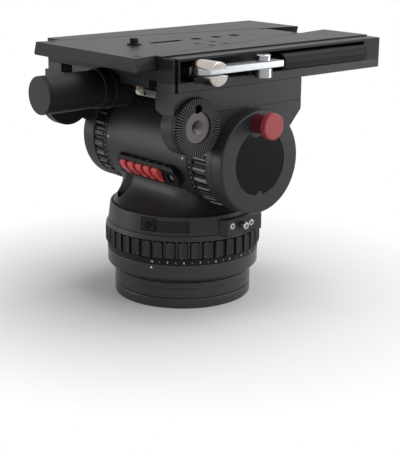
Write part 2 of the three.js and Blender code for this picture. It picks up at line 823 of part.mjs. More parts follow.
addPiece(drum, 'switch_block', onDrum(switchBlock), blackPlastic);

const screwSlot = box(
  [switchScrewX - switchScrewRadius - cutOverrun, -fitGap, switchScrewTop - fitGap - fitGap],
  [switchScrewX + switchScrewRadius + cutOverrun, fitGap, switchFace + cutOverrun]);
const switchScrew = rodZ(switchFace - switchScrewLength, switchScrewTop, switchScrewX, 0, switchScrewRadius);
addPiece(drum, 'switch_block_screw', onDrum(switchScrew.subtract(screwSlot)), brass);

// A counterbalance switch is a fin that lies on the block and rocks on a pin through its foot.
const finBottom = switchFace + fitGap;
const finSection = outline([
  [switchFootRearY, switchFace - switchFootDepth],
  [switchFootFrontY, switchFace - switchFootDepth],
  [switchFootFrontY, finBottom + switchHeelRise],
  ...switchNoseY.map((y, i) => [y, finBottom + switchNoseHeight[i]]),
  [switchTailY, finBottom],
  [switchFootRearY, finBottom],
]);
const fin = onDrum(extrudedX(finSection, -switchWidth / 2, switchWidth / 2));
const switches = new THREE.Group();
switches.position.z = tiltAxisHeight;
for (let i = 0; i < switchCount; i += 1) {
  const mesh = addPiece(switches, `switch_${i + 1}`, fin, redPlastic);
  mesh.position.x = firstSwitchX + i * switchPitch;
}

// Tilt drag dials: turn on the necks of the drum
const tiltDials = new THREE.Group();
tiltDials.position.z = tiltAxisHeight;
const tiltDialBore = drumNeckRadius + fitGap;
const tiltRibOutline = ribbedOutline(
  tiltRibRadius, tiltValleyRadius, tiltRibCount, tiltRibShare, tiltRibEdgeShare, tiltDialBore);
const leftDialEnd = -drumLeft - fitGap;
const leftDial = extrudedX(tiltRibOutline, leftDialEnd - leftRingWidth, leftDialEnd - leftScaleWidth)
  .add(turnedX(ringProfile(tiltDialBore, drumRadius, leftDialEnd - leftScaleWidth - fitGap, leftDialEnd),
    largeSteps));
const rightDialEnd = drumRight + fitGap;
const rightDial = extrudedX(tiltRibOutline, rightDialEnd + rightScaleWidth, rightDialEnd + rightRingWidth)
  .add(turnedX(ringProfile(tiltDialBore, drumRadius, rightDialEnd, rightDialEnd + rightScaleWidth + fitGap),
    largeSteps));
addPiece(tiltDials, 'tilt_ring_left', leftDial, blackRubber);
addPiece(tiltDials, 'tilt_ring_right', rightDial, blackRubber);

// Tilt head: cheeks, covers and beams that swing on the shaft
const tiltHead = new THREE.Group();
tiltHead.position.z = tiltAxisHeight;

const beamBottomLevel = tiltRibRadius + beamClearance;
const beamTopLevel = beamBottomLevel + beamHeight;
const cheekTopLevel = beamBottomLevel - fitGap;
const rightCheekOuter = rightCheekInner + rightCheekThickness;
const leftCheekOuter = leftCheekInner + leftCheekThickness;

// The web of a cheek joins the cover circle to the boss circle where they come close.
const bossAngle = Math.atan2(bossLevel, bossRearY);
const webAngle = THREE.MathUtils.degToRad(bossWebTurn);
const capWebAngle = bossAngle + webAngle;
const bossWebAngle = bossAngle + Math.PI - (webAngle * capRadius) / bossRadius;
const cheekOutline = outline([
  [capRadius * Math.cos(capWebAngle), capRadius * Math.sin(capWebAngle)],
  [0, 0],
  [cheekFootY, cheekFootLevel],
  [cheekSlopeY, cheekSlopeLevel],
  [cheekFrontY, cheekTopLevel - cheekNoseHeight],
  [cheekFrontY, cheekTopLevel],
  [bossRearY, cheekTopLevel],
  [bossRearY + bossRadius * Math.cos(bossWebAngle), bossLevel + bossRadius * Math.sin(bossWebAngle)],
]);
const bossRod = (x0, x1, grow) => rodX(x0, x1, bossRearY, bossLevel, bossRadius + grow, largeSteps);
const capRod = (x0, x1) => rodX(x0, x1, 0, 0, capRadius, largeSteps);
const shaftHole = (x0, x1) => rodX(x0, x1, 0, 0, shaftBore, mediumSteps);
const threadHole = (x0, x1) => rodX(x0, x1, bossRearY, bossLevel, hubThreadRadius);

const rightCheek = extrudedX(cheekOutline, rightCheekInner, rightCheekOuter)
  .add(capRod(rightCheekInner, rightCheekOuter))
  .add(bossRod(rightBossInner, rightCheekOuter, 0))
  .subtract(shaftHole(rightCheekInner - cutOverrun, rightCheekOuter + cutOverrun))
  .subtract(threadHole(rightCheekOuter - hubThreadDepth, rightCheekOuter + cutOverrun));
addPiece(tiltHead, 'cheek_right', rightCheek, charcoal);

const leftCapInner = leftCheekOuter + leftCapProud - leftCapThickness;
const leftWebInner = leftCheekInner + leftBossInset;
const leftCapSeat = rodX(-leftCheekOuter - cutOverrun, -leftCapInner + fitGap, 0, 0, leftCapRadius + fitGap,
  largeSteps);
const leftCheekRim = turnedX([
  [0, -leftCheekOuter],
  [capRadius - capEdge, -leftCheekOuter],
  ...arc(capRadius - capEdge, -leftCheekOuter + capEdge, capEdge, -90, 0, filletSteps),
  [capRadius, -leftCheekInner],
  [0, -leftCheekInner],
], largeSteps);
const leftCheek = extrudedX(cheekOutline, -leftCheekOuter, -leftWebInner)
  .subtract(rodX(-leftCheekOuter - cutOverrun, -leftCheekInner, 0, 0, capRadius - capEdge, largeSteps))
  .add(leftCheekRim)
  .add(bossRod(-leftCheekOuter, -leftWebInner, 0))
  .subtract(shaftHole(-leftCheekOuter - cutOverrun, -leftCheekInner + cutOverrun))
  .subtract(leftCapSeat);
addPiece(tiltHead, 'cheek_left', leftCheek, charcoal);

const rightCapInner = rightCheekOuter + fitGap;
const rightCapFace = rightCapInner + rightCapThickness;
const shaftLeftX = -leftCapInner + fitGap + fitGap;
const shaftRightX = rightCapInner + shaftInCap;
addPiece(tiltHead, 'tilt_shaft', rodX(shaftLeftX, shaftRightX, 0, 0, shaftRadius, mediumSteps), steel);

// Right cover, with the recess for the label disc and the bore of the lock knob
const labelFloor = rightCapFace - labelRecess;
const labelNotch = (grow) => rodX(labelFloor - cutOverrun, rightCapFace + cutOverrun, 0, labelNotchLevel,
  labelNotchRadius + grow);
const knobTab = (grow) => rodX(labelFloor - cutOverrun, rightCapFace + cutOverrun, lockKnobY, lockKnobLevel,
  knobTabRadius + grow, mediumSteps);
const labelCut = rodX(labelFloor, rightCapFace + cutOverrun, 0, 0, labelRadius, largeSteps)
  .subtract(labelNotch(0))
  .subtract(knobTab(0));
const lockBoreFloor = rightCapFace - lockStemInCap - fitGap;
const lockBore = rodX(lockBoreFloor, rightCapFace + cutOverrun, lockKnobY, lockKnobLevel,
  lockStemRadius + fitGap, mediumSteps);
const rightCap = turnedX([
  [0, rightCapInner],
  [capRadius, rightCapInner],
  ...arc(capRadius - capEdge, rightCapFace - capEdge, capEdge, 0, 90, filletSteps),
  [0, rightCapFace],
], largeSteps)
  .subtract(labelCut)
  .subtract(lockBore)
  .subtract(shaftHole(rightCapInner - cutOverrun, shaftRightX + fitGap));
addPiece(tiltHead, 'end_cap_right', rightCap, charcoal);

const labelBack = labelFloor + fitGap;
const labelDisc = rodX(labelBack, labelBack + labelThickness, 0, 0, labelRadius - fitGap, largeSteps)
  .subtract(labelNotch(fitGap))
  .subtract(knobTab(fitGap));
addPiece(tiltHead, 'label_disc', labelDisc, blackGloss);

addPiece(tiltHead, 'end_cap_left', turnedX([
  [0, -leftCheekOuter - leftCapProud],
  [leftCapRadius - leftCapProud, -leftCheekOuter - leftCapProud],
  [leftCapRadius, -leftCheekOuter],
  [leftCapRadius, -leftCapInner],
  [0, -leftCapInner],
], largeSteps), darkCharcoal);

// A rosette is a ring with radial teeth on its outer face, made at the origin facing +X.
const rosetteBore = hubRadius + fitGap;
function toothedRing() {
  const steps = 2 * toothCount;
  const ring = (radius, height) => Array.from({ length: steps }, (_, i) => {
    const angle = (2 * Math.PI * i) / steps;
    return new THREE.Vector3(height(i), radius * Math.cos(angle), radius * Math.sin(angle));
  });
  const flat = () => 0;
  const outerTooth = (i) => rosetteThickness - (i % 2) * toothDepth;
  const innerTooth = (i) => rosetteThickness - (i % 2) * toothDepth * (rosetteBore / bossRadius);
  const rings = [ring(rosetteBore, flat), ring(bossRadius, flat), ring(bossRadius, outerTooth),
    ring(rosetteBore, innerTooth)];
  const points = rings.flat();
  const index = [];
  for (let k = 0; k < rings.length; k += 1) {
    const [a, b] = [k * steps, ((k + 1) % rings.length) * steps];
    for (let i = 0; i < steps; i += 1) {
      const next = (i + 1) % steps;
      index.push(a + i, a + next, b + next, a + i, b + next, b + i);
    }
  }
  const geometry = new THREE.BufferGeometry().setFromPoints(points);
  geometry.setIndex(index);
  return solid(geometry);
}
const pinHole = rodX(rosetteThickness - pinHoleDepth, rosetteThickness + cutOverrun, 0, pinHoleOffset,
  pinHoleRadius);
const rosette = toothedRing().subtract(pinHole);
const hubFace = rosetteThickness - hubRecess;
const hubThread = rodX(-cutOverrun, rosetteThickness + cutOverrun, 0, 0, hubThreadRadius);
const hubMouth = turnedX([
  [0, hubFace - hubCountersink],
  [hubThreadRadius, hubFace - hubCountersink],
  [hubThreadRadius + hubCountersink + hubCountersink, hubFace + hubCountersink],
  [0, hubFace + hubCountersink],
], smallSteps);
const hub = rodX(0, hubFace, 0, 0, hubRadius, mediumSteps)
  .subtract(hubThread)
  .subtract(hubMouth)
  .subtract(pinHole);
const hubPlaces = [['right', rightCheekOuter + fitGap, 0], ['left', -leftCheekOuter - fitGap, Math.PI]];
for (const [side, faceX, turn] of hubPlaces) {
  const ringMesh = addPiece(tiltHead, `rosette_${side}`, rosette, blackPlastic);
  const hubMesh = addPiece(tiltHead, `hub_${side}`, hub, paleSteel);
  for (const mesh of [ringMesh, hubMesh]) {
    mesh.position.set(faceX, bossRearY, bossLevel);
    mesh.rotation.z = turn;
  }
}

// Beams that carry the platform, cut clear of the bosses
function beamSection(innerX, outerX, side) {
  return outline([
    [side * innerX, beamBottomLevel + beamChamferZ],
    [side * (innerX + beamChamferX), beamBottomLevel],
    [side * outerX, beamBottomLevel],
    [side * outerX, beamTopLevel],
    [side * innerX, beamTopLevel],
  ]);
}
const bracketEndX = beamInnerX - fitGap;
const rightBeam = extrudedY(beamSection(beamInnerX, rightBeamOuterX, 1), beamRearY, cheekFrontY)
  .subtract(bossRod(rightBossInner - fitGap, rightBeamOuterX + cutOverrun, fitGap));
const leftBeam = extrudedY(beamSection(beamInnerX, leftBeamOuterX, -1), beamRearY, cheekFrontY)
  .subtract(bossRod(-leftBeamOuterX - cutOverrun, -leftWebInner + fitGap, fitGap));
addPiece(tiltHead, 'beam_right', rightBeam, charcoal);
addPiece(tiltHead, 'beam_left', leftBeam, charcoal);

// Nut of the balance screw and the bracket that ties it to the right beam
const nutFrontY = nutRearY + nutLength;
const screwHole = rodY(nutRearY - cutOverrun, nutFrontY + cutOverrun, 0, knobLevel, screwRadius + fitGap);
const nut = rodY(nutRearY, nutFrontY, 0, knobLevel, nutRadius, hexSides).subtract(screwHole);
addPiece(tiltHead, 'lead_nut', nut, brass);

const bracketFrontY = nutRearY - fitGap;
const bracketRearY = bracketFrontY - bracketThickness;
const bracketTopLevel = bracketBottomLevel + bracketHeight;
const bracketBar = box([0, bracketRearY, bracketBottomLevel + beamChamferZ + fitGap],
  [bracketEndX, bracketFrontY, bracketTopLevel + beamChamferZ + fitGap]);
const bracketEar = rodY(bracketRearY, bracketFrontY, 0, knobLevel, nutRadius, mediumSteps);
const bracketHole = rodY(bracketRearY - cutOverrun, bracketFrontY + cutOverrun, bracketHoleX,
  (bracketBottomLevel + bracketTopLevel) / 2 + beamChamferZ, bracketHoleRadius);
const bracket = bracketBar.add(bracketEar).subtract(screwHole).subtract(bracketHole);
addPiece(tiltHead, 'nut_bracket', bracket, steel);

// Red lock knob: pulled out of its bore
const lockKnob = new THREE.Group();
lockKnob.position.set(rightCapFace, lockKnobY, tiltAxisHeight + lockKnobLevel);
const lockFlangeInner = lockStemProud;
const lockFace = lockFlangeInner + lockFlangeThickness;
addPiece(lockKnob, 'lock_knob', turnedX([
  [0, -lockStemInCap],
  [lockStemRadius, -lockStemInCap],
  [lockStemRadius, lockFlangeInner],
  [lockFlangeRadius, lockFlangeInner],
  [lockFlangeRadius, lockFace - lockFlangeEdge],
  [lockFlangeRadius - lockFlangeEdge, lockFace],
  [0, lockFace],
], mediumSteps), redPlastic);

// Platform: slides on the beams, driven by the balance screw
const platform = new THREE.Group();
platform.position.z = tiltAxisHeight;

const slabBottomLevel = beamTopLevel + fitGap;
const slabTopLevel = slabBottomLevel + slabThickness;
const clampBottomLevel = slabTopLevel + fitGap;
const clampTopLevel = clampBottomLevel + clampHeight;
const channelLevel = clampTopLevel - channelDepth;
const plateBottomLevel = channelLevel + fitGap;
const housingClear = (y0, y1) => rodY(y0, y1, 0, knobLevel, housingRadius + fitGap, mediumSteps);

const endSlot = (low, high) => box(
  [platformHalfWidth - endSlotDepth, endSlotRearY, low],
  [platformHalfWidth + cutOverrun, endSlotFrontY, high]);
const slabCut = (x0, x1, frontY) => box(
  [x0, platformRearY - cutOverrun, slabBottomLevel - cutOverrun],
  [x1, frontY, slabTopLevel + cutOverrun]);
const nutClear = rodY(housingRearY, nutFrontY + platformTravel + cutOverrun, 0, knobLevel,
  nutRadius + ringRelief, mediumSteps);
const barrelClear = rodX(barrelClampInnerX - ringRelief, platformHalfWidth + cutOverrun, barrelClampY,
  barrelClampLevel, barrelClampRadius + fitGap, mediumSteps);
const slab = box([-platformHalfWidth, platformRearY, slabBottomLevel],
  [platformHalfWidth, platformFrontY, slabTopLevel])
  .subtract(slabCut(-slabSlotOuterX, -slabSlotInnerX, slabSlotFrontY))
  .subtract(slabCut(slabSlotInnerX, slabSlotOuterX, slabSlotFrontY))
  .subtract(slabCut(-slabSlotOuterX, slabSlotOuterX, platformRearY + slabTongueInset))
  .subtract(housingClear(platformRearY - cutOverrun, screwPocketFrontY))
  .subtract(nutClear)
  .subtract(barrelClear)
  .subtract(endSlot(slabBottomLevel - cutOverrun, slabTopLevel + cutOverrun));
addPiece(platform, 'platform_slab', slab, charcoal);

// A wedge in plan between two levels, wider below than above by the undercut.
const taper = (plateRearHalfWidth - plateFrontHalfWidth) / (plateFrontY - plateRearY);
const halfWidthAt = (y) => plateRearHalfWidth - taper * (y - plateRearY);
function wedge(levels, rearY, frontY) {
  return skinned(levels.map(([level, grow]) => {
    const [rear, front] = [halfWidthAt(rearY) + grow, halfWidthAt(frontY) + grow];
    const corners = [[-rear, rearY], [rear, rearY], [front, frontY], [-front, frontY]];
    return corners.map(([x, y]) => new THREE.Vector3(x, y, level));
  }));
}
const undercutRate = dovetailUndercut / channelDepth;
const channelCut = wedge([
  [channelLevel, dovetailUndercut + fitGap],
  [clampTopLevel + cutOverrun, fitGap - cutOverrun * undercutRate],
], platformRearY - cutOverrun, platformFrontY + cutOverrun);
const cornerFlange = box([clampRightX - cutOverrun, platformRearY, clampBottomLevel],
  [platformHalfWidth, endSlotRearY, clampBottomLevel + railHeight]);
const clampBlock = box([-platformHalfWidth, platformRearY, clampBottomLevel],
  [clampRightX, platformFrontY, clampTopLevel]);
const clampBody = clampBlock
  .add(cornerFlange)
  .subtract(channelCut)
  .subtract(housingClear(platformRearY - cutOverrun, screwPocketFrontY));
addPiece(platform, 'clamp_body', clampBody, charcoal);

const railInnerX = clampRightX + fitGap;
const railTopLevel = clampBottomLevel + railHeight;
const railFloorX = railInnerX + railWall;
const railPocket = box([railFloorX, railPocketRearY, clampBottomLevel - cutOverrun],
  [platformHalfWidth + cutOverrun, gripBarFrontY + fitGap, railTopLevel - railTopThickness]);
const sideRail = box([railInnerX, endSlotFrontY, clampBottomLevel],
  [platformHalfWidth, platformFrontY, railTopLevel])
  .subtract(railPocket)
  .subtract(barrelClear);
addPiece(platform, 'side_rail', sideRail, charcoal);

// Grip bar with a half round nose, held in the rail's pocket
const gripRadius = gripBarHeight / 2;
const gripMiddleLevel = clampBottomLevel + gripRadius;
const gripNoseX = platformHalfWidth + gripBarProud - gripRadius;
const gripInnerX = railFloorX + fitGap;
const gripSection = outline([
  [gripInnerX, clampBottomLevel],
  ...arc(gripNoseX, gripMiddleLevel, gripRadius, -90, 90, smallSteps / 2),
  [gripInnerX, clampBottomLevel + gripBarHeight],
]);
addPiece(platform, 'grip_bar', extrudedY(gripSection, gripBarRearY, gripBarFrontY), darkCharcoal);

// Housing of the balance screw
const lipBore = knobRadius / 2;
const knobHousing = rodY(housingRearY, housingFrontY, 0, knobLevel, housingRadius, mediumSteps)
  .subtract(rodY(housingRearY - cutOverrun, housingFrontY + cutOverrun, 0, knobLevel, screwRadius + fitGap));
addPiece(platform, 'knob_housing', knobHousing, darkCharcoal);

// Bracket and screw of the lever's pivot
const pivotArm = box([railFloorX + fitGap, pivotArmRearY, pivotArmLevel],
  [platformHalfWidth + pivotArmOut, pivotArmFrontY, pivotArmLevel + pivotArmHeight])
  .subtract(rodZ(pivotArmLevel - cutOverrun, leverBottomLevel + cutOverrun, leverPivotX, leverPivotY,
    pivotPostRadius + fitGap));
addPiece(platform, 'lever_bracket', pivotArm, darkCharcoal);

const leverTopLevel = leverBottomLevel + leverThickness;
const pivotBottomLevel = leverBottomLevel - fitGap - pivotPostHeight;
const pivotTopLevel = leverTopLevel + fitGap + pivotHeadHeight;
const pivotRod = (low, high, radius) => rodZ(low, high, leverPivotX, leverPivotY, radius);
const pivotPost = pivotRod(pivotBottomLevel, leverBottomLevel - fitGap, pivotPostRadius)
  .add(pivotRod(pivotBottomLevel, pivotTopLevel, pivotHoleRadius - fitGap))
  .add(pivotRod(leverTopLevel + fitGap, pivotTopLevel, pivotHeadRadius));
addPiece(platform, 'pivot_screw', pivotPost, bareAluminium);

// Balance knob and its screw, which turn together
const balance = new THREE.Group();
balance.position.z = tiltAxisHeight + knobLevel;
const lipRearY = housingRearY - fitGap - knobLipWidth;
addPiece(balance, 'balance_knob', turnedY([
  [0, knobRearY],
  [knobRadius - knobEdge, knobRearY],
  [knobRadius, knobRearY + knobEdge],
  [knobRadius, lipRearY],
  [knobLipRadius, lipRearY],
  [knobLipRadius, housingRearY - fitGap],
  [lipBore, housingRearY - fitGap],
  [lipBore, knobFrontY],
  [screwRadius + fitGap, knobFrontY],
  [screwRadius + fitGap, knobFrontY - screwRadius],
  [0, knobFrontY - screwRadius],
], mediumSteps, 0, 0), blackPlastic);
const leadScrew = rodY(knobFrontY - screwRadius + fitGap, screwFrontY, 0, 0, screwRadius);
addPiece(balance, 'lead_screw', leadScrew, brass);

// Lever clamp: the lever turns on its pivot and draws the barrel out
const lever = new THREE.Group();
lever.position.set(leverPivotX, leverPivotY, tiltAxisHeight);
const leverRound = leverWidth / 2;
const leverPlan = outline([
  ...arc(0, leverRearY - leverPivotY + leverRound, leverRound, 180, 360, smallSteps / 2),
  [leverRound, leverFrontY - leverPivotY],
  [-leverRound, leverFrontY - leverPivotY],
]);
const leverHole = rodZ(leverBottomLevel - cutOverrun, leverTopLevel + cutOverrun, 0, 0, pivotHoleRadius);
addPiece(lever, 'clamp_lever', extrudedZ(leverPlan, leverBottomLevel, leverTopLevel).subtract(leverHole),
  bareAluminium);

const barrel = new THREE.Group();
barrel.position.set(0, barrelClampY, tiltAxisHeight + barrelClampLevel);
const barrelBlank = turnedX([
  [0, barrelClampInnerX],
  [barrelClampRadius, barrelClampInnerX],
  [barrelClampRadius, barrelClampOuterX - barrelClampEdge],
  [barrelClampRadius - barrelClampEdge, barrelClampOuterX],
  [0, barrelClampOuterX],
], mediumSteps);
const leverSlot = box(
  [leverPivotX - leverRound - barrelSlotMargin, -barrelClampRadius - cutOverrun,
    leverBottomLevel - barrelClampLevel - fitGap],
  [barrelClampOuterX + cutOverrun, barrelClampRadius + cutOverrun,
    leverTopLevel - barrelClampLevel + fitGap]);
addPiece(barrel, 'clamp_barrel', barrelBlank.subtract(leverSlot), nickel);

// Wedge shaped camera plate: slides out of the channel to the rear
const cameraPlate = new THREE.Group();
cameraPlate.position.z = tiltAxisHeight;
const plateTopLevel = clampTopLevel;
const plateFullLevel = plateBottomLevel + plateLowerChamfer;
const plateUndercut = dovetailUndercut * (plateTopLevel - plateFullLevel) / channelDepth;
const plateBlank = wedge([
  [plateBottomLevel, plateUndercut - plateLowerChamfer],
  [plateFullLevel, plateUndercut],
  [plateTopLevel, 0],
], plateRearY, plateFrontY);
const throughPlate = (x, y, radius) =>
  rodZ(plateBottomLevel - cutOverrun, plateTopLevel + cutOverrun, x, y, radius);
const studSeat = rodZ(plateTopLevel - studFlangeThickness - fitGap, plateTopLevel + cutOverrun, 0, studY,
  studFlangeRadius + fitGap);
const slotHalfWidth = plateSlotWidth / 2;
const plateSlot = extrudedZ(outline([
  ...arc(0, plateSlotRearY + slotHalfWidth, slotHalfWidth, 180, 360, smallSteps / 2),
  ...arc(0, plateSlotFrontY - slotHalfWidth, slotHalfWidth, 0, 180, smallSteps / 2),
]), plateBottomLevel - cutOverrun, plateTopLevel + cutOverrun);
const plateHoles = plateHoleY.map((y) => throughPlate(0, y, plateHoleRadius));
const plateCuts = [studSeat, plateSlot, ...plateHoles];
const wedgePlate = plateCuts.reduce((body, cut) => body.subtract(cut), plateBlank);
addPiece(cameraPlate, 'wedge_plate', wedgePlate, charcoal);

const studTop = plateTopLevel + studProud;
const studFlangeTop = plateTopLevel + studFlangeProud;
const cameraStud = rodZ(plateTopLevel - studFlangeThickness, studFlangeTop, 0, studY, studFlangeRadius)
  .add(rodZ(plateTopLevel - studFlangeThickness, studTop, 0, studY, studRadius));
addPiece(cameraPlate, 'camera_stud', cameraStud, darkCharcoal);

const group = new THREE.Group();
group.add(base, panDial, panHead, brake, levelButton, drum, switches, tiltDials);
group.add(tiltHead, lockKnob, platform, balance, lever, barrel, cameraPlate);

export default group;
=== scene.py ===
# %% [markdown]
# # A fluid video head, finished in Blender
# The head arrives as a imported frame: every part at its real size, with plain faceted solids.
# This script gives the parts their finished surfaces. Each visible part is rebuilt finely over its
# solid, with rounded edges and its own material, and rides on the same body as the solid it stands for.
# Lengths below are in millimetres until a mesh is made, because the drawings of such heads are.

# %% Load the frame
import json
import math

import bmesh
import bpy
from mathutils import Matrix, Vector


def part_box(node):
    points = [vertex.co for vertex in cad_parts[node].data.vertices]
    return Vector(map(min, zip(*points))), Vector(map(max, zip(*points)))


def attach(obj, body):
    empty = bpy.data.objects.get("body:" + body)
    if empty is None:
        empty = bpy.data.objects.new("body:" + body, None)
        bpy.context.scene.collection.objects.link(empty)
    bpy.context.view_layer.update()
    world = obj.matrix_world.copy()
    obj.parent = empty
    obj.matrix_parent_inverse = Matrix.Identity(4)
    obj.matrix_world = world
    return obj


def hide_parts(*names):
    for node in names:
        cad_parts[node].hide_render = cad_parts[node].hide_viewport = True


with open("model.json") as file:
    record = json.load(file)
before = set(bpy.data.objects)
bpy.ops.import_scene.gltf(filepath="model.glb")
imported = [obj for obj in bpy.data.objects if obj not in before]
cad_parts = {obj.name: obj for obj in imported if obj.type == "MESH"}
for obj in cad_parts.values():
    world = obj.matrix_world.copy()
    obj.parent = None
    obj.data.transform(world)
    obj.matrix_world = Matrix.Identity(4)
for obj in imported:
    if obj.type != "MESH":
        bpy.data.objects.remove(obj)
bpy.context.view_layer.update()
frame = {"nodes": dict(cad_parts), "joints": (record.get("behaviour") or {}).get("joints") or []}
MM = 0.001
GAP = 0.3
PRINT_LIFT = 0.06
pins = {joint["name"]: Vector(joint["pos_m"]) / MM for joint in frame["joints"] if "pos_m" in joint}
tilt_height = pins["tilt"].z
print("tilt axis height in mm:", round(tilt_height, 1))


def span(node):
    """Lowest and highest corner of a CAD node, in millimetres."""
    low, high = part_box(node)
    return low / MM, high / MM


def added(name, data):
    """A new object in the scene."""
    made = bpy.data.objects.new(name, data)
    bpy.context.scene.collection.objects.link(made)
    return made


def polar(radius, angle):
    return radius * math.cos(angle), radius * math.sin(angle)


def round_turns(steps):
    """The angles of evenly spaced points on a circle."""
    return [2 * math.pi * i / steps for i in range(steps)]


# %% [markdown]
# ## The camera
# The photograph was taken from behind and to the right of the head, a little above its platform, with a
# long lens. The three angles and the distance below come from its straight edges and circles.

# %% Camera
PHOTO_HEIGHT_PX = 450
FOCAL_PX = 1150
SENSOR_MM = 36
camera_azimuth = math.radians(48.46)
camera_pitch = math.radians(15.93)
camera_roll = math.radians(0.48)
camera_distance = 1274.54
aim_right = 19.18
aim_height = 71.39

forward = Vector((
    -math.sin(camera_azimuth) * math.cos(camera_pitch),
    math.cos(camera_azimuth) * math.cos(camera_pitch),
    -math.sin(camera_pitch)))
level_right = Vector((math.cos(camera_azimuth), math.sin(camera_azimuth), 0))
level_up = level_right.cross(forward)
camera_right = level_right * math.cos(camera_roll) + level_up * math.sin(camera_roll)
camera_up = level_up * math.cos(camera_roll) - level_right * math.sin(camera_roll)
camera_place = Vector((0, 0, aim_height)) + level_right * aim_right - forward * camera_distance

camera_data = bpy.data.cameras.new("camera")
camera_data.sensor_fit = "VERTICAL"
camera_data.sensor_height = SENSOR_MM
camera_data.lens = FOCAL_PX * SENSOR_MM / PHOTO_HEIGHT_PX
camera_data.clip_end = 20
camera = added("camera", camera_data)
facing = Matrix((camera_right, camera_up, -forward)).transposed().to_4x4()
camera.matrix_world = Matrix.Translation(camera_place * MM) @ facing
bpy.context.scene.camera = camera
print("lens in mm:", round(camera_data.lens, 1))

# %% [markdown]
# ## Shader maths as Python
# A node tree is easier to read as an expression. The class below wraps one output socket, and each
# operator adds the Math node that it stands for, also with a plain number on its left. Anything else comes
# from `Nodes.node`, which takes a node's type, its settings and its inputs.


# %% Shader helpers
class Wire:
    """One value that flows through a shader."""

    def __init__(self, shader, socket):
        self.shader = shader
        self.socket = socket

    def maths(self, operation, left, right):
        return self.shader.node("ShaderNodeMath", {"operation": operation}, {0: left, 1: right})

    def __add__(self, other):
        return self.maths("ADD", self, other)

    def __radd__(self, other):
        return self.maths("ADD", other, self)

    def __sub__(self, other):
        return self.maths("SUBTRACT", self, other)

    def __rsub__(self, other):
        return self.maths("SUBTRACT", other, self)

    def __mul__(self, other):
        return self.maths("MULTIPLY", self, other)

    def __rmul__(self, other):
        return self.maths("MULTIPLY", other, self)

    def above(self, low, high):
        """0 below low, 1 above high and a straight ramp between them."""
        inputs = {"Value": self, "From Min": low, "From Max": high}
        return self.shader.node("ShaderNodeMapRange", {"clamp": True}, inputs)


GRAIN_DEPTH = 0.0001


class Nodes:
    """A node tree that is built from Python."""

    def __init__(self, tree):
        self.tree = tree

    def node(self, kind, settings, inputs, output=0):
        made = self.tree.nodes.new(kind)
        for key, value in settings.items():
            setattr(made, key, value)
        for key, value in inputs.items():
            self.feed(made.inputs[key], value)
        return Wire(self, made.outputs[output])

    def feed(self, socket, value):
        if isinstance(value, Wire):
            self.tree.links.new(value.socket, socket)
        elif isinstance(value, tuple) and len(value) == 3 and socket.type == "RGBA":
            socket.default_value = (*value, 1)
        else:
            socket.default_value = value


class Shader(Nodes):
    """A material and the nodes that feed its surface."""

    def __init__(self, name):
        self.material = bpy.data.materials.new(f"fine_{name}")
        self.material.use_nodes = True
        super().__init__(self.material.node_tree)
        self.surface = self.tree.nodes["Principled BSDF"]

    def place(self):
        """The point on the object, in metres."""
        return self.node("ShaderNodeTexCoord", {}, {}, "Object")

    def noise(self, scale, detail=3.0, roughness=0.55, stretch=(1, 1, 1)):
        where = self.node("ShaderNodeMapping", {}, {"Vector": self.place(), "Scale": stretch})
        inputs = {"Vector": where, "Scale": scale, "Detail": detail, "Roughness": roughness}
        return self.node("ShaderNodeTexNoise", {}, inputs)

    def mix(self, amount, first, second):
        return self.node("ShaderNodeMix", {"data_type": "RGBA"}, {0: amount, 6: first, 7: second}, 2)

    def bump(self, height, strength):
        inputs = {"Height": height, "Strength": strength, "Distance": GRAIN_DEPTH}
        return self.node("ShaderNodeBump", {}, inputs)

    def set(self, **values):
        for key, value in values.items():
            self.feed(self.surface.inputs[key.replace("_", " ").title().replace("Ior", "IOR")], value)
        return self


# %% [markdown]
# ## The finishes
# Most of the head is cast and milled aluminium under a dark satin coat. Close up such a coat has a fine
# grain, so its bump is a noise with cells of about a third of a millimetre. A second, broad noise moves
# colour and roughness by a few percent, as handling does. Machined plates show the cutter's strokes
# instead, which is the same noise stretched along one axis.

# %% Coated metal
GRAIN_SCALE = 2600
HANDLING_SCALE = 22
STROKE_SCALE = 900
METAL_SCALE = 1400


def coated(name, dark, light, smooth, rough, grain, shine=0.4):
    shader = Shader(name)
    handling = shader.noise(HANDLING_SCALE)
    speck = shader.noise(GRAIN_SCALE, detail=2.0)
    tone = (handling * 0.65 + speck * 0.35).above(0.32, 0.68)
    shader.set(base_color=shader.mix(tone, dark, light), specular_ior_level=shine)
    shader.set(roughness=handling.above(0.25, 0.75) * (rough - smooth) + smooth)
    shader.set(normal=shader.bump(speck, grain))
    return shader.material


charcoal = coated("charcoal_coat", (0.018, 0.019, 0.021), (0.025, 0.026, 0.029), 0.36, 0.46, 0.22, 0.3)
dark_coat = coated("dark_coat", (0.007, 0.007, 0.008), (0.01, 0.01, 0.012), 0.38, 0.48, 0.22, 0.22)
base_coat = coated("base_coat", (0.014, 0.014, 0.016), (0.02, 0.02, 0.022), 0.3, 0.38, 0.15, 0.55)
soft_black = coated("soft_black", (0.005, 0.005, 0.006), (0.008, 0.008, 0.009), 0.42, 0.54, 0.35, 0.18)


# %% Machined plate
def milled(name, dark, light, smooth, rough, stretch):
    shader = Shader(name)
    strokes = shader.noise(STROKE_SCALE, detail=4.0, stretch=stretch)
    handling = shader.noise(HANDLING_SCALE)
    tone = (strokes * 0.7 + handling * 0.3).above(0.3, 0.7)
    shader.set(base_color=shader.mix(tone, dark, light), specular_ior_level=0.14)
    shader.set(roughness=strokes.above(0.3, 0.7) * (rough - smooth) + smooth)
    shader.set(normal=shader.bump(strokes, 0.16))
    return shader.material


plate_coat = milled("plate_coat", (0.015, 0.016, 0.018), (0.023, 0.024, 0.027), 0.36, 0.46, (1, 0.04, 1))

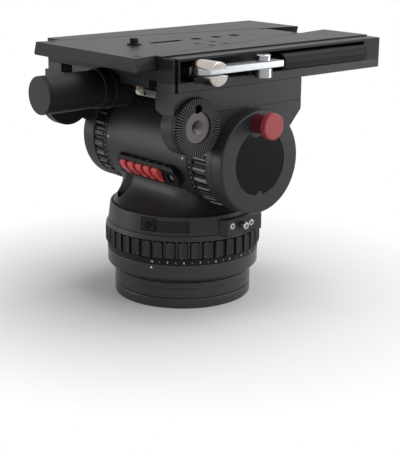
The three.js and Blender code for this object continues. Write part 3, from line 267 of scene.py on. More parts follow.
# %% [markdown]
# The dials are rubber, the switches red plastic, and the knobs and the label have paint or gloss. A moulded
# skin has one even grain, so one noise feeds its colour, roughness and bump. An image could give the same
# grain, but it would need a flat map of every piece and would repeat.


# %% Rubber, plastics and gloss
def moulded(name, dark, light, smooth, rough, scale, grain, shine=0.4, stretch=(1, 1, 1), metallic=0.0):
    shader = Shader(name)
    skin = shader.noise(scale, stretch=stretch)
    tone = skin.above(0.3, 0.7)
    shader.set(base_color=shader.mix(tone, dark, light), roughness=tone * (rough - smooth) + smooth)
    shader.set(normal=shader.bump(skin, grain), specular_ior_level=shine, metallic=metallic)
    return shader.material


grip_rubber = moulded("grip_rubber", (0.005, 0.005, 0.006), (0.008, 0.008, 0.009), 0.28, 0.36, 1500, 0.15, 0.5)
black_plastic = moulded(
    "black_plastic", (0.004, 0.004, 0.005), (0.007, 0.007, 0.008), 0.36, 0.48, 1900, 0.25, 0.15)
red_plastic = moulded("red_plastic", (0.56, 0.045, 0.045), (0.66, 0.07, 0.065), 0.32, 0.42, 1200, 0.12)
red_enamel = moulded("red_enamel", (0.3, 0.035, 0.043), (0.36, 0.048, 0.056), 0.34, 0.46, 900, 0.15)
# painted shade: the lock knob's red enamel darkened for its stem, which lies in the shadow of the cap
red_enamel_painted_shade = moulded("red_enamel_painted_shade", (0.09, 0.01, 0.013), (0.12, 0.014, 0.018), 0.4, 0.5, 900, 0.15, 0.2)
black_gloss = moulded("black_gloss", (0.003, 0.003, 0.004), (0.004, 0.004, 0.005), 0.07, 0.12, 300, 0.02, 0.12)
# painted shade: a near-black skin for the floors of holes and slots, where only shade falls
painted_hole_shade = moulded("painted_hole_shade", (0.001, 0.001, 0.001), (0.002, 0.002, 0.002), 0.7, 0.8, 900, 0.1, 0.0)
white_ink = moulded("white_ink", (0.72, 0.72, 0.7), (0.82, 0.82, 0.8), 0.5, 0.6, 1500, 0.1)
battery_wrap = moulded("battery_wrap", (0.05, 0.075, 0.11), (0.08, 0.11, 0.15), 0.25, 0.35, 700, 0.05)

# %% [markdown]
# Screws, hubs, lever and barrel are bare metal. It differs from plastic only in being metallic and in the
# direction of its polish, so the same function makes it, with the noise stretched along the polish.


# %% Bare metals
def bare_metal(name, dark, light, smooth, rough, stretch, grain=0.12):
    return moulded(name, dark, light, smooth, rough, METAL_SCALE, grain, 0.5, stretch, 1.0)


steel = bare_metal("steel", (0.42, 0.41, 0.39), (0.56, 0.55, 0.53), 0.26, 0.38, (1, 1, 1))
link_steel = bare_metal("link_steel", (0.5, 0.48, 0.44), (0.62, 0.6, 0.56), 0.34, 0.46, (1, 1, 0.1))
hub_steel = bare_metal("hub_steel", (0.1, 0.09, 0.092), (0.14, 0.126, 0.13), 0.42, 0.52, (1, 1, 1))
pale_steel = bare_metal("pale_steel", (0.46, 0.46, 0.46), (0.55, 0.55, 0.55), 0.16, 0.24, (1, 1, 0.1), 0.06)
nickel = bare_metal("nickel", (0.46, 0.42, 0.38), (0.52, 0.48, 0.44), 0.18, 0.26, (1, 1, 0.1), 0.03)
aluminium = bare_metal("bare_aluminium", (0.44, 0.46, 0.49), (0.53, 0.55, 0.58), 0.28, 0.4, (1, 0.06, 1))
brass = bare_metal("brass", (0.42, 0.29, 0.1), (0.56, 0.4, 0.16), 0.26, 0.36, (1, 1, 1))
print("finishes:", len(bpy.data.materials))

# %% [markdown]
# ## Making meshes
# Three forms cover nearly every part of a turned and milled object: a profile turned about an axis, an
# outline pushed along one, and a grid of rings. Real edges are never knife sharp, so the profiles and
# outlines are rounded first by `eased`, which replaces each corner with a short arc.

# %% Profiles and outlines
AXES = {"X": Matrix(((0, 0, 1), (0, 1, 0), (-1, 0, 0))), "Y": Matrix(((1, 0, 0), (0, 0, 1), (0, -1, 0)))}
AXES["Z"] = Matrix.Identity(3)
TINY = 1e-6


def laid(axis, centre):
    """The move of a shape turned about Z to another axis through a centre."""
    return Matrix.Translation(centre) @ AXES[axis].to_4x4()


def through(axis, centre):
    """A point on a bar's centre line, from the two places that are not along its axis."""
    return {"X": (0, *centre), "Y": (centre[0], 0, centre[1]), "Z": (*centre, 0)}[axis]


def eased(points, radius, steps=4, closed=True):
    """The same outline with its corners rounded. A point's third value is a radius of its own."""
    result = []
    count = len(points)
    for i, (u, v, *own) in enumerate(points):
        ends = not closed and i in (0, count - 1)
        here = Vector((u, v))
        to_last = Vector(points[i - 1][:2]) - here
        to_next = Vector(points[(i + 1) % count][:2]) - here
        angle = 0 if ends or min(to_last.length, to_next.length) < TINY else to_last.angle(to_next)
        if ends or not math.radians(2) < angle < math.radians(176):
            result.append((u, v))
            continue
        size = own[0] if own else radius
        back = min(size / math.tan(angle / 2), 0.48 * to_last.length, 0.48 * to_next.length)
        start = here + to_last.normalized() * back
        end = here + to_next.normalized() * back
        for k in range(steps + 1):
            t = k / steps
            point = start * (1 - t) ** 2 + here * 2 * t * (1 - t) + end * t ** 2
            result.append((point.x, point.y))
    return result


def arc(u, v, radius, start, end, steps=16):
    """Points on an arc between two angles in degrees."""
    spots = [polar(radius, math.radians(start + (end - start) * i / steps)) for i in range(steps + 1)]
    return [(u + a, v + b) for a, b in spots]


def hexagon(u, v, reach):
    return [(u + a, v + b) for a, b in (polar(reach, turn) for turn in round_turns(6))]


# %% [markdown]
# `Part` collects the steps that every part goes through: build the mesh in millimetres, cut or join other
# parts, then settle on a body with a finish. Flat faces next to rounded edges need weighted normals, or
# the light bends across them.


# %% The part class
class Part:
    """A mesh in the making, in millimetres."""

    def __init__(self, name, bm):
        bmesh.ops.remove_doubles(bm, verts=bm.verts, dist=1e-4)
        bmesh.ops.dissolve_degenerate(bm, edges=bm.edges, dist=1e-5)
        bmesh.ops.recalc_face_normals(bm, faces=bm.faces)
        mesh = bpy.data.meshes.new(name)
        bm.to_mesh(mesh)
        bm.free()
        self.obj = added(name, mesh)

    def apply(self):
        """Turns the modifiers into mesh."""
        tree = bpy.context.evaluated_depsgraph_get()
        mesh = bpy.data.meshes.new_from_object(self.obj.evaluated_get(tree))
        self.obj.modifiers.clear()
        self.obj.data = mesh
        return self

    def combine(self, operation, others):
        for other in others:
            step = self.obj.modifiers.new("combine", "BOOLEAN")
            step.operation = operation
            step.solver = "EXACT"
            step.object = other.obj
            self.apply()
            bpy.data.objects.remove(other.obj)
        return self

    def cut(self, *others):
        return self.combine("DIFFERENCE", others)

    def join(self, *others):
        return self.combine("UNION", others)

    def within(self, *others):
        return self.combine("INTERSECT", others)

    def rounded(self, width, segments=3, angle=35):
        """Rounds the edges that are sharper than the angle."""
        step = self.obj.modifiers.new("edges", "BEVEL")
        step.width = width
        step.segments = segments
        step.limit_method = "ANGLE"
        step.angle_limit = math.radians(angle)
        return self.apply()

    def moved(self, matrix):
        self.obj.data.transform(matrix)
        return self

    def settle(self, body, material, *nodes, sharp=32):
        """Scales to metres, shades, and rides on a body in place of the named nodes."""
        mesh = self.obj.data
        mesh.transform(Matrix.Scale(MM, 4))
        mesh.materials.clear()
        mesh.materials.append(material)
        bm = bmesh.new()
        bm.from_mesh(mesh)
        for face in bm.faces:
            face.smooth = True
        for edge in bm.edges:
            edge.smooth = len(edge.link_faces) == 2 and edge.calc_face_angle(0) < math.radians(sharp)
        bm.to_mesh(mesh)
        bm.free()
        weighted = self.obj.modifiers.new("even_shading", "WEIGHTED_NORMAL")
        weighted.keep_sharp = True
        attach(self.obj, body)
        if nodes:
            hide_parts(*nodes)
        return self


def turned(name, profile, axis="Z", centre=(0, 0, 0), steps=128, closed=False):
    """Turns a profile of (radius, height) about an axis. A closed profile makes a ring."""
    bm = bmesh.new()
    rings = []
    for radius, height in profile:
        if radius < TINY:
            rings.append([bm.verts.new((0, 0, height))] * steps)
        else:
            rings.append([bm.verts.new((*polar(radius, turn), height)) for turn in round_turns(steps)])
    for low, high in zip(rings, rings[1:] + (rings[:1] if closed else [])):
        for i in range(steps):
            j = (i + 1) % steps
            corners = list(dict.fromkeys((low[i], low[j], high[j], high[i])))
            if len(corners) > 2:
                bm.faces.new(corners)
    bmesh.ops.transform(bm, matrix=laid(axis, centre), verts=bm.verts)
    return Part(name, bm)


def lathe(name, points, ease, axis="Z", centre=(0, 0, 0), steps=128, turns=4, ring=False):
    """A turned part with eased corners. A ring has a closed profile."""
    return turned(name, eased(points, ease, turns, closed=ring), axis, centre, steps, closed=ring)


def rod(name, axis, low, high, centre, radius, steps=64, ease=0.0):
    """A round bar from low to high along an axis. centre holds the other two places."""
    profile = [(0, low), (radius, low), (radius, high), (0, high)]
    if ease:
        profile = eased(profile, ease, closed=False)
    return turned(name, profile, axis, through(axis, centre), steps)


def skinned(name, rings, place=Matrix.Identity(4), capped=True):
    """A skin over rings of points. It ends in flat faces, or else comes back to its first ring."""
    bm = bmesh.new()
    made = [[bm.verts.new(point) for point in ring] for ring in rings]
    for lower, upper in zip(made, made[1:] + ([] if capped else made[:1])):
        for i in range(len(lower)):
            j = (i + 1) % len(lower)
            bm.faces.new((lower[i], lower[j], upper[j], upper[i]))
    if capped:
        bm.faces.new(list(reversed(made[0])))
        bm.faces.new(made[-1])
    bmesh.ops.transform(bm, matrix=place, verts=bm.verts)
    return Part(name, bm)


def inset(points, depth):
    """The outline moved inwards by a depth. The points run anticlockwise."""
    result = []
    count = len(points)
    for i in range(count):
        here = Vector(points[i])
        before = (here - Vector(points[i - 1])).normalized()
        after = (Vector(points[(i + 1) % count]) - here).normalized()
        left = Vector((-before.y - after.y, before.x + after.x))
        if left.length < TINY:
            left = Vector((-before.y, before.x))
        left.normalize()
        stretch = max(0.5, left.dot(Vector((-before.y, before.x))))
        result.append(tuple(here + left * depth / stretch))
    return result


def prism(name, points, axis, low, high, edge=0.0, steps=3):
    """Pushes an outline along an axis. Along X it is (Y, Z), along Y (X, Z), along Z (X, Y)."""
    area = sum(p[0] * q[1] - q[0] * p[1] for p, q in zip(points, points[1:] + points[:1]))
    points = list(points) if area > 0 else list(reversed(points))
    levels = [(low, 0.0), (high, 0.0)]
    if edge:
        turns = [math.pi / 2 * k / steps for k in range(steps + 1)]
        start = [(low + edge * (1 - math.cos(a)), edge * (1 - math.sin(a))) for a in turns]
        levels = start + [(low + high - w, d) for w, d in reversed(start)]
    order = {"X": (2, 0, 1), "Y": (0, 2, 1), "Z": (0, 1, 2)}[axis]
    rings = [[[(u, v, w)[k] for k in order] for u, v in (inset(points, d) if d else points)] for w, d in levels]
    return skinned(name, rings)


def block(name, low, high):
    """A box between two corners."""
    outline = [(low[0], low[1]), (high[0], low[1]), (high[0], high[1]), (low[0], high[1])]
    return prism(name, outline, "Z", low[2], high[2])


def machined(node, width, segments=3):
    """A copy of a milled CAD solid with its flats whole and its edges rounded."""
    bm = bmesh.new()
    bm.from_mesh(frame["nodes"][node].data)
    bmesh.ops.scale(bm, vec=(1 / MM,) * 3, verts=bm.verts)
    bmesh.ops.remove_doubles(bm, verts=bm.verts, dist=1e-3)
    bmesh.ops.dissolve_limit(bm, angle_limit=math.radians(1), verts=bm.verts, edges=bm.edges)
    part = Part(f"{node}_machined", bm)
    return part.rounded(width, segments) if width else part


def threaded(name, axis, low, high, centre, radius, pitch, depth, steps=40, end=0.0):
    """A screw. The surface dips by depth once in every pitch, a little later at each angle."""
    rows = max(4, int((high - low) / pitch * 8))
    rings = []
    for k in range(rows + 1):
        height = low + (high - low) * k / rows
        run = min(height - low, high - height)
        limit = radius - max(0.0, end - run)
        ring = []
        for i, angle in enumerate(round_turns(steps)):
            phase = (height / pitch - i / steps) % 1
            wave = min(1.0, 3 * abs(phase - 0.5))
            here = min(radius - depth * (1 - wave), limit)
            ring.append((*polar(here, angle), height))
        rings.append(ring)
    return skinned(name, rings, laid(axis, through(axis, centre)))


# %% [markdown]
# Grip rings have ribs with dished tops. The radius follows the rib pattern round the ring, and near each
# end it may not pass a cone. Where the cone cuts the ribs it leaves the small arches seen on real rings.
# An array of separate ribs would be quicker to model, but each foot would then need a blend of its own.

# %% Ribbed rings
RIB_STEPS = 32
RIB_SINK = 0.6
RIB_EASE = 0.7
DISH_SHARE = 0.8
RIDGE_SHARE = 0.86
FLANK_SHARE = 0.035


def ribbed(name, axis, centre, ribs, crest, valley, bore, low, high, share=0.7, dish=1.8, end=2.6):
    """A grip ring along an axis, from low to high. share is how much of the round the ribs take up."""
    steps = ribs * RIB_STEPS
    half = share / 2

    def pattern(i):
        away = abs((i % RIB_STEPS) / RIB_STEPS - 0.5)
        across = away / half
        if across <= DISH_SHARE:
            return crest - dish * (1 - (across / DISH_SHARE) ** 2)
        if across <= 1:
            return crest - RIB_EASE * max(0.0, (across - RIDGE_SHARE) / (1 - RIDGE_SHARE)) ** 2
        ramp = min(1.0, (away - half) / FLANK_SHARE + 0.2)
        return crest - (crest - valley) * ramp

    outline = [pattern(i) for i in range(steps)]
    low_limit = valley - RIB_SINK
    levels = [(low + end * k / 5, low_limit + (crest - low_limit) * math.sin(math.pi / 2 * k / 5))
              for k in range(6)]
    levels += [(low + high - h, r) for h, r in reversed(levels)]

    def ring(height, radii):
        return [(*polar(radius, turn), height) for radius, turn in zip(radii, round_turns(steps))]

    rings = [ring(levels[0][0], [bore] * steps)]
    rings += [ring(height, [min(radius, limit) for radius in outline]) for height, limit in levels]
    rings.append(ring(levels[-1][0], [bore] * steps))
    return skinned(name, rings, laid(axis, centre), capped=False)


# %% [markdown]
# The numbers on the dials are printed. An image could hold them, but it would blur close up, so each is a
# flat text, turned into a mesh and bent onto its band. `where` says how a point of the flat text is put on
# the object.

# %% Printing
DOT_RADIUS = 1.15
DOT_CORNERS = 24


def printed(name, text, size, where, body):
    """A line of print as a thin mesh. where turns a flat (u, v) in millimetres into a place."""
    curve = bpy.data.curves.new(name, "FONT")
    curve.body = text
    curve.size = size
    curve.align_x = curve.align_y = "CENTER"
    letter = added(f"{name}_curve", curve)
    mesh = bpy.data.meshes.new_from_object(letter.evaluated_get(bpy.context.evaluated_depsgraph_get()))
    bpy.data.objects.remove(letter)
    bm = bmesh.new()
    bm.from_mesh(mesh)
    for vert in bm.verts:
        vert.co = where(vert.co.x, vert.co.y)
    return Part(name, bm).settle(body, white_ink)


def round_z(radius, angle, height):
    """Places flat print on a band about the pan axis, at an angle in degrees."""
    def where(u, v):
        return Vector((*polar(radius, math.radians(angle) + u / radius), height + v))
    return where


def round_x(radius, x, rise, turned_up=False):
    """Places flat print on the rear of the tilt axis, at rise degrees above the level."""
    def where(u, v):
        along, up = (v, -u) if turned_up else (u, v)
        y, z = polar(radius, math.radians(180 - rise) - up / radius)
        return Vector((x + along, y, tilt_height + z))
    return where


def dot(name, where, body):
    """A small round index mark."""
    bm = bmesh.new()
    bm.faces.new([bm.verts.new(where(*polar(DOT_RADIUS, turn))) for turn in round_turns(DOT_CORNERS)])
    return Part(name, bm).settle(body, white_ink)


def stroke(name, u0, v0, u1, v1, where, body):
    """A short straight mark between two flat points, cut into steps so that it bends."""
    bm = bmesh.new()
    low = [bm.verts.new(where(u0 + (u1 - u0) * k / 4, v0)) for k in range(5)]
    high = [bm.verts.new(where(u0 + (u1 - u0) * k / 4, v1)) for k in range(5)]
    for k in range(4):
        bm.faces.new((low[k], low[k + 1], high[k + 1], high[k]))
    return Part(name, bm).settle(body, white_ink)


# %% [markdown]
# ## The base
# The foot is a flat disc held down by four bolts. Above it the housing flares out to the barrel, whose
# white dot is the index of the pan drag dial. The whole housing is one turned casting. A subdivided cylinder
# could give the flare too, but a turned profile keeps every step at its measured radius.

# %% Foot and barrel
foot_high = span("base_plate")[1]
house_low, house_high = span("base_housing")
spindle_low = span("pan_spindle")[0]
dial_low, dial_high = span("pan_drag_ring")
FLARE_BOTTOM = 29.6
FLARE_TOP = 35.0
NECK_RADIUS = 68
NECK_BORE = 58
BOLTS = 4
BOLT_CIRCLE = 56
BOLT_HOLE = [(0, -3), (8.4, -3), (5.4, 0), (4.7, 0.7), (4.7, 12), (0, 12)]
PAN_INDEX = (-64, 46.6)
foot_radius = foot_high.x
groove_radius = foot_radius - 0.7
relief_radius = foot_radius - 1.4
barrel_radius = house_high.x
barrel_top = dial_low.z - GAP
bore_floor = spindle_low.z - GAP

foot = lathe("foot_disc", [(0, 0), (foot_radius, 0), (foot_radius, foot_high.z), (0, foot_high.z)], 1.2)
for turn in round_turns(BOLTS):
    foot.cut(turned("mouth", BOLT_HOLE, "Z", (*polar(BOLT_CIRCLE, turn), 0), 48))
foot.settle("base", base_coat, "base_plate")

housing = lathe("base_casting", [
    (0, house_low.z), (foot_radius - 1, house_low.z), (foot_radius - 1, house_low.z + 1),
    (foot_radius, house_low.z + 1), (foot_radius, 21.2), (groove_radius, 21.5), (groove_radius, 22.1),
    (foot_radius, 22.4), (foot_radius, FLARE_BOTTOM - 1.2), (relief_radius, FLARE_BOTTOM - 0.9),
    (relief_radius, FLARE_BOTTOM), (foot_radius + 0.6, FLARE_BOTTOM), (barrel_radius, FLARE_TOP, 4),
    (barrel_radius, barrel_top, 0.8), (NECK_RADIUS, barrel_top), (NECK_RADIUS, house_high.z),
    (NECK_BORE, house_high.z), (NECK_BORE, bore_floor), (0, bore_floor)], 0.3, steps=160, turns=6)
housing.settle("base", base_coat, "base_housing")
dot("pan_index", round_z(barrel_radius + PRINT_LIFT, *PAN_INDEX), "base")
print("barrel radius in mm:", round(barrel_radius, 1))

# %% [markdown]
# ## The pan drag dial
# Forty ribs stand above a smooth band with the drag numbers. The dial turns under the index dot. Ribs and
# band are two pieces on one body, because rubber and coated metal meet there in a sharp line.

# %% Pan drag dial
PAN_RIBS = 40
DIAL_BORE = NECK_RADIUS + GAP
DIAL_VALLEY = 81.3
BAND_RADIUS = 83
BAND_SHOULDER = 80.9
NUMBER_HEIGHT = 53.2
NUMBER_SIZE = 3.4
NUMBER_STEP = 12
FIRST_NUMBER = -63.6
LAST = 10
band_top = dial_low.z + 5.9
shoulder = band_top + 1.1
pan_ring = ribbed("pan_grip", "Z", (0, 0, 0), PAN_RIBS, dial_high.x, DIAL_VALLEY, DIAL_BORE, band_top, dial_high.z)
pan_band = lathe("pan_band", [(DIAL_BORE, dial_low.z), (BAND_RADIUS, dial_low.z), (BAND_RADIUS, band_top + 0.1),
                              (BAND_SHOULDER, shoulder), (DIAL_BORE, shoulder)], 0.5, steps=160, ring=True)
pan_ring.settle("pan_dial", grip_rubber, "pan_drag_ring")
pan_band.settle("pan_dial", soft_black)
for i in range(LAST + 1):
    angle = FIRST_NUMBER + NUMBER_STEP * i
    on_band = round_z(BAND_RADIUS + PRINT_LIFT, angle, NUMBER_HEIGHT)
    printed(f"pan_number_{LAST - i}", str(LAST - i), NUMBER_SIZE, on_band, "pan_dial")
    if i < LAST:
        between = round_z(BAND_RADIUS + PRINT_LIFT, angle + NUMBER_STEP / 2, NUMBER_HEIGHT)
        stroke(f"pan_tick_{i}", -0.15, -0.7, 0.15, 0.7, between, "pan_dial")
print("pan dial ribs:", PAN_RIBS)

# %% [markdown]
# ## The pan housing
# A collar and a band carry a saddle that rises to the drum. Its outline goes from a circle at the rim to a
# squarer shape under the drum, so it is skinned over rings and then joined and cut like the casting it is.

# %% Pan housing
shell_low = span("pan_housing")[0]
SADDLE_LEFT = 66
SADDLE_RIGHT = 60
SADDLE_HALF_DEPTH = 43.5
SADDLE_FOOT = 77.3
SADDLE_SINK = 1
SQUARENESS = 0.4
STEEPNESS = 2.6
BAND_HEIGHT = 20
BAND_FOOT = 82
SADDLE_STEPS = 128
DRUM_SEAT = 52.8
DIAL_SEAT = 54.8
COLLAR_NECK = 81.2
saddle_top = tilt_height - 34.5
collar_bottom = dial_high.z + GAP
collar_top = collar_bottom + 5
band_bottom = collar_top + 0.4
rim_top = band_bottom + BAND_HEIGHT

shell = lathe("pan_casting", [
    (0, 97), (34.3, 97), (34.3, shell_low.z), (46, shell_low.z), (46, collar_bottom), (84.8, collar_bottom),
    (82.3, collar_top), (COLLAR_NECK, collar_top), (COLLAR_NECK, band_bottom), (BAND_FOOT, band_bottom),
    (79.5, rim_top, 2.2), (0, rim_top)], 0.4, steps=160)


def squared(value, reach):
    return math.copysign(abs(value) ** SQUARENESS, value) * reach


def saddle_ring(rise):
    """One ring of the saddle. It leaves the rim slowly and steepens towards the drum."""
    blend = 1 - (1 - rise) ** STEEPNESS
    height = rim_top - SADDLE_SINK + (saddle_top - rim_top + SADDLE_SINK) * rise
    ring = []
    for j in range(SADDLE_STEPS):
        angle = 2 * math.pi * (j + 0.5) / SADDLE_STEPS
        c, s = math.cos(angle), math.sin(angle)
        x, y = SADDLE_FOOT * c, SADDLE_FOOT * s
        top_x = squared(c, SADDLE_LEFT if c < 0 else SADDLE_RIGHT)
        ring.append((x + (top_x - x) * blend, y + (squared(s, SADDLE_HALF_DEPTH) - y) * blend, height))
    return ring


shell.join(skinned("saddle", [saddle_ring(k / 24) for k in range(25)]))
shell.cut(
    rod("drum_seat", "X", -90, 90, (0, tilt_height), DRUM_SEAT, 160),
    rod("dial_space_left", "X", -150, -73.5, (0, tilt_height), DIAL_SEAT, 160),
    rod("dial_space_right", "X", 65.4, 150, (0, tilt_height), DIAL_SEAT, 160))
print("saddle top in mm:", round(saddle_top, 1))

# %% [markdown]
# The band also holds the light for the level: a small panel with a sprung button, and the door of its
# battery. Both are pieces of the band itself, so each is a ring sector with its own narrow gap round it.

# %% Pocket, panel and door
POCKET = [(-59, -46), (-31, -35.5), (-37, -61)]
PANEL = ((-73.2, -60.4), 85.6, 99.2)
DOOR = ((-59.4, -35.7), 86.0, 96.5)
BUTTON_ANGLE = -67.4
BUTTON_HEIGHT = 91.6
BUTTON_RADIUS = 3.2
BAND_SLOPE = 2.5
SEAT_FLOOR = 76
OUTSIDE = 9


def sector(name, angles, low, high, inner, skin, grow=0.0):
    """A piece of the band between two angles and two heights. skin is how far it stands out of the band."""
    start, end = (math.radians(a) for a in angles)
    start, end = start - grow / BAND_FOOT, end + grow / BAND_FOOT
    layers = []
    for height in (low - grow, high + grow):
        outer = BAND_FOOT - BAND_SLOPE * (height - band_bottom) / BAND_HEIGHT + skin
        turns = [start + (end - start) * k / 24 for k in range(25)]
        places = [(outer, t) for t in turns] + [(inner, t) for t in reversed(turns)]
        layers.append([(*polar(radius, turn), height) for radius, turn in places])
    return skinned(name, layers)


def radial(name, angle, height, radius, inner, outer, ease=0.0):
    """A round bar that points out from the pan axis."""
    bar = rod(name, "X", inner, outer, (0, height), radius, 48, ease)
    return bar.moved(Matrix.Rotation(math.radians(angle), 4, "Z"))


def button_bore():
    return radial("button_bore", BUTTON_ANGLE, BUTTON_HEIGHT, BUTTON_RADIUS + 0.6, 70, 90)


shell.cut(prism("pocket", eased(POCKET, 1.6), "Z", rim_top - 1.6, tilt_height))
shell.cut(sector("panel_seat", *PANEL, SEAT_FLOOR, OUTSIDE, grow=GAP))
shell.cut(sector("door_seat", *DOOR, SEAT_FLOOR, OUTSIDE, grow=0.35))
shell.cut(button_bore())
block_low, block_high = span("brake_block")
shell.cut(block("block_seat", block_low - Vector((GAP, GAP, GAP)), block_high + Vector((6, GAP, GAP))))
shell.settle("pan_head", charcoal, "pan_housing", sharp=28)

panel = sector("level_light", *PANEL, 76.5, 0.25)
panel.cut(button_bore())
lens_slot = sector("lens_slot", (-62.0, -60.6), 86.4, 98.4, 79.6, 4)
lens_slot.join(radial("lens_eye", -62.0, 92.4, 1.9, 79.6, 86))
panel.cut(lens_slot)
frame_cut = sector("frame_line", (-73.0, -62.6), 86.1, 98.7, 79.9, 6)
panel.cut(frame_cut.cut(sector("frame_keep", (-72.6, -63.0), 86.6, 98.2, 79, 7)))
panel.settle("pan_head", dark_coat, "level_panel")
# painted shade: a near-black sheet at the bottom of the slot, where only shade falls
sector("lens_floor", (-62.4, -60.5), 86, 98.9, 78, -1.9).settle("pan_head", painted_hole_shade)
button = radial("level_push", BUTTON_ANGLE, BUTTON_HEIGHT, BUTTON_RADIUS, 74, 82.1, 0.5)
button.settle("level_button", black_plastic, "level_button")
door = sector("battery_cover", *DOOR, 76.9, 0.0)
door.cut(sector("door_line", (-37.4, -37.1), DOOR[1] - 1, DOOR[2] + 1, 80, 5))
door.rounded(0.3, 2, 50)
door.settle("pan_head", dark_coat, "battery_door")
print("battery door in degrees:", DOOR[0])

# %% [markdown]
# The brake block is bolted to the side of the housing. Its two socket screws are flush, and the end of the
# brake spindle stands out between them. The block is milled, so its CAD solid only needs rounded edges. The
# screws are turned and then cut with a hexagon.

# %% Brake block and its screws
SOCKET_DEPTH = 2.4
BEYOND = 3


def socket_screw(name, face, y, z, node):
    """A round screw head that faces +X, with a six sided socket."""
    top = face + 0.4
    head = rod(name, "X", face - 8, top, (y, z), 3.4, 48, 0.5)
    head.cut(prism(f"{name}_socket", hexagon(y, z, 1.75), "X", top - SOCKET_DEPTH, top + BEYOND))
    head.settle("pan_head", steel, node)


machined("brake_block", 0.9).settle("pan_head", charcoal, "brake_block")
socket_screw("brake_bolt_rear", block_high.x, -5.4, 89.6, "brake_screw_rear")
socket_screw("brake_bolt_front", block_high.x, 21.8, 89.2, "brake_screw_front")
CAP_PLACE = pins["pan_brake_turn"].yz
cap_face = span("brake_spindle")[1].x
stem = rod("brake_stem", "X", 74.5, 87.2, CAP_PLACE, 2.8, 48)
cap = lathe("brake_cap", [(0, 86.8), (3.4, 86.8), (4, 87.6), (4, cap_face - 0.7), (3.2, cap_face), (0, cap_face)],
            0.3, "X", (0, *CAP_PLACE), 48)
stem.join(cap)
stem.cut(prism("cap_socket", hexagon(*CAP_PLACE, 1.8), "X", cap_face - SOCKET_DEPTH, cap_face + BEYOND))
stem.settle("pan_brake", steel, "brake_spindle")
print("brake cap faces at x:", round(cap_face, 1))

# %% [markdown]
# ## The drum
# The drum casing is a turned tube with a narrower neck at each end, where the two tilt drag dials turn.
# The white dots are their index marks. The dials differ only in side and place, so one function makes both.

# %% Drum casing and tilt drag dials
drum_low, drum_high = span("drum_tube")
left_dial_low, left_dial_high = span("tilt_ring_left")
right_dial_low, right_dial_high = span("tilt_ring_right")
DRUM_RADIUS = 52.5
DRUM_NECK = 45.7
DRUM_BORE = 38
SCALE_RADIUS = 52.3
SCALE_BORE = DRUM_NECK + GAP
SCALE_STEP = 12.5
FIRST_RISE = 18
drum_left = left_dial_high.x + GAP
drum_right = right_dial_low.x - GAP
axis = (0, 0, tilt_height)
casing = lathe("drum_casing", [
    (DRUM_BORE, drum_low.x), (DRUM_NECK, drum_low.x), (DRUM_NECK, drum_left), (DRUM_RADIUS, drum_left),
    (DRUM_RADIUS, drum_right), (DRUM_NECK, drum_right), (DRUM_NECK, drum_high.x), (DRUM_BORE, drum_high.x)],
    0.5, "X", axis, 160, ring=True)
casing.settle("pan_head", charcoal, "drum_tube")
dot("tilt_index_left", round_x(DRUM_RADIUS + PRINT_LIFT, -65.2, 4.9), "pan_head")
dot("tilt_index_right", round_x(DRUM_RADIUS + PRINT_LIFT, 60, 1.4), "pan_head")


def tilt_dial(side, low, high, scale_low, scale_high):
    """A ribbed ring with a smooth scale beside it, on a neck of the drum."""
    body = f"tilt_dial_{side}"
    ribs = ribbed(f"tilt_grip_{side}", "X", axis, 32, 53.6, 50.7, SCALE_BORE, low, high, dish=1.4, end=1.6)
    ribs.settle(body, grip_rubber, f"tilt_ring_{side}")
    scale = lathe(f"tilt_scale_{side}", [
        (SCALE_BORE, scale_low), (SCALE_RADIUS, scale_low), (SCALE_RADIUS, scale_high), (SCALE_BORE, scale_high)],
        0.4, "X", axis, 160, ring=True)
    scale.settle(body, soft_black)
    reach, middle = SCALE_RADIUS + PRINT_LIFT, (scale_low + scale_high) / 2
    for k in range(LAST + 1):
        rise = FIRST_RISE - SCALE_STEP * k
        printed(f"tilt_number_{side}_{k}", str(k), 2.9, round_x(reach, middle, rise, True), body)
        between = round_x(reach, middle, rise - SCALE_STEP / 2)
        stroke(f"tilt_tick_{side}_{k}", -0.8, -0.15, 0.8, 0.15, between, body)


tilt_dial("left", left_dial_low.x, drum_left - 6.5, drum_left - 6.4, drum_left - GAP)
tilt_dial("right", drum_right + 9.5, right_dial_high.x, drum_right + GAP, drum_right + 9.4)
print("drum between its dials in mm:", round(drum_right - drum_left, 1))

# %% [markdown]
# ## The counterbalance switches
# Five red fins lean along a black block on the drum. The block is drawn lying flat with its face up and
# then swung to its place, and so are the fins. In the flat place X runs along the drum. Drawn on the drum
# itself, every point would need a slanted pair of numbers.

# %% Switch block
SWING = 22.5
SWITCH_FACE = 59.5
SWITCH_PITCH = 13.4
FIRST_SWITCH = -26.4
SWITCH_HALF = 4.3
SWITCHES = 5
BED_LEFT = 42
BED_RIGHT = 56.5
BED_HALF = 11.7
BED_BACK = 20
BED_BEVEL = 3
SCREW_X = 44
SCREW_SEAT = [(0, 54), (3.7, 54), (3.7, 57.2), (4.9, 57.4), (4.9, 64), (0, 64)]
WINDOW = [(-31.4, 2.2), (32.2, 2.2), (32.2, 7.4), (-31.4, 7.4)]
to_drum = Matrix.Translation(Vector(axis)) @ Matrix.Rotation(math.radians(90 + SWING), 4, "X")
nose = BED_RIGHT - BED_HALF
flat = [(-BED_LEFT, -BED_HALF), (nose, -BED_HALF)] + arc(nose, 0, BED_HALF, -90, 90, 32)[1:]
flat.append((-BED_LEFT, BED_HALF))
bevel_foot = SWITCH_FACE - BED_BEVEL
section = [
    (-BED_HALF, BED_BACK), (BED_HALF, BED_BACK), (BED_HALF, bevel_foot), (BED_HALF - BED_BEVEL, SWITCH_FACE),
    (BED_BEVEL - BED_HALF, SWITCH_FACE), (-BED_HALF, bevel_foot)]
switch_bed = prism("switch_bed", eased(flat, 1.6), "Z", BED_BACK, 66)
switch_bed.within(prism("bed_section", eased(section, 0.8), "X", -60, 70))
switch_bed.rounded(0.5, 2, 40)
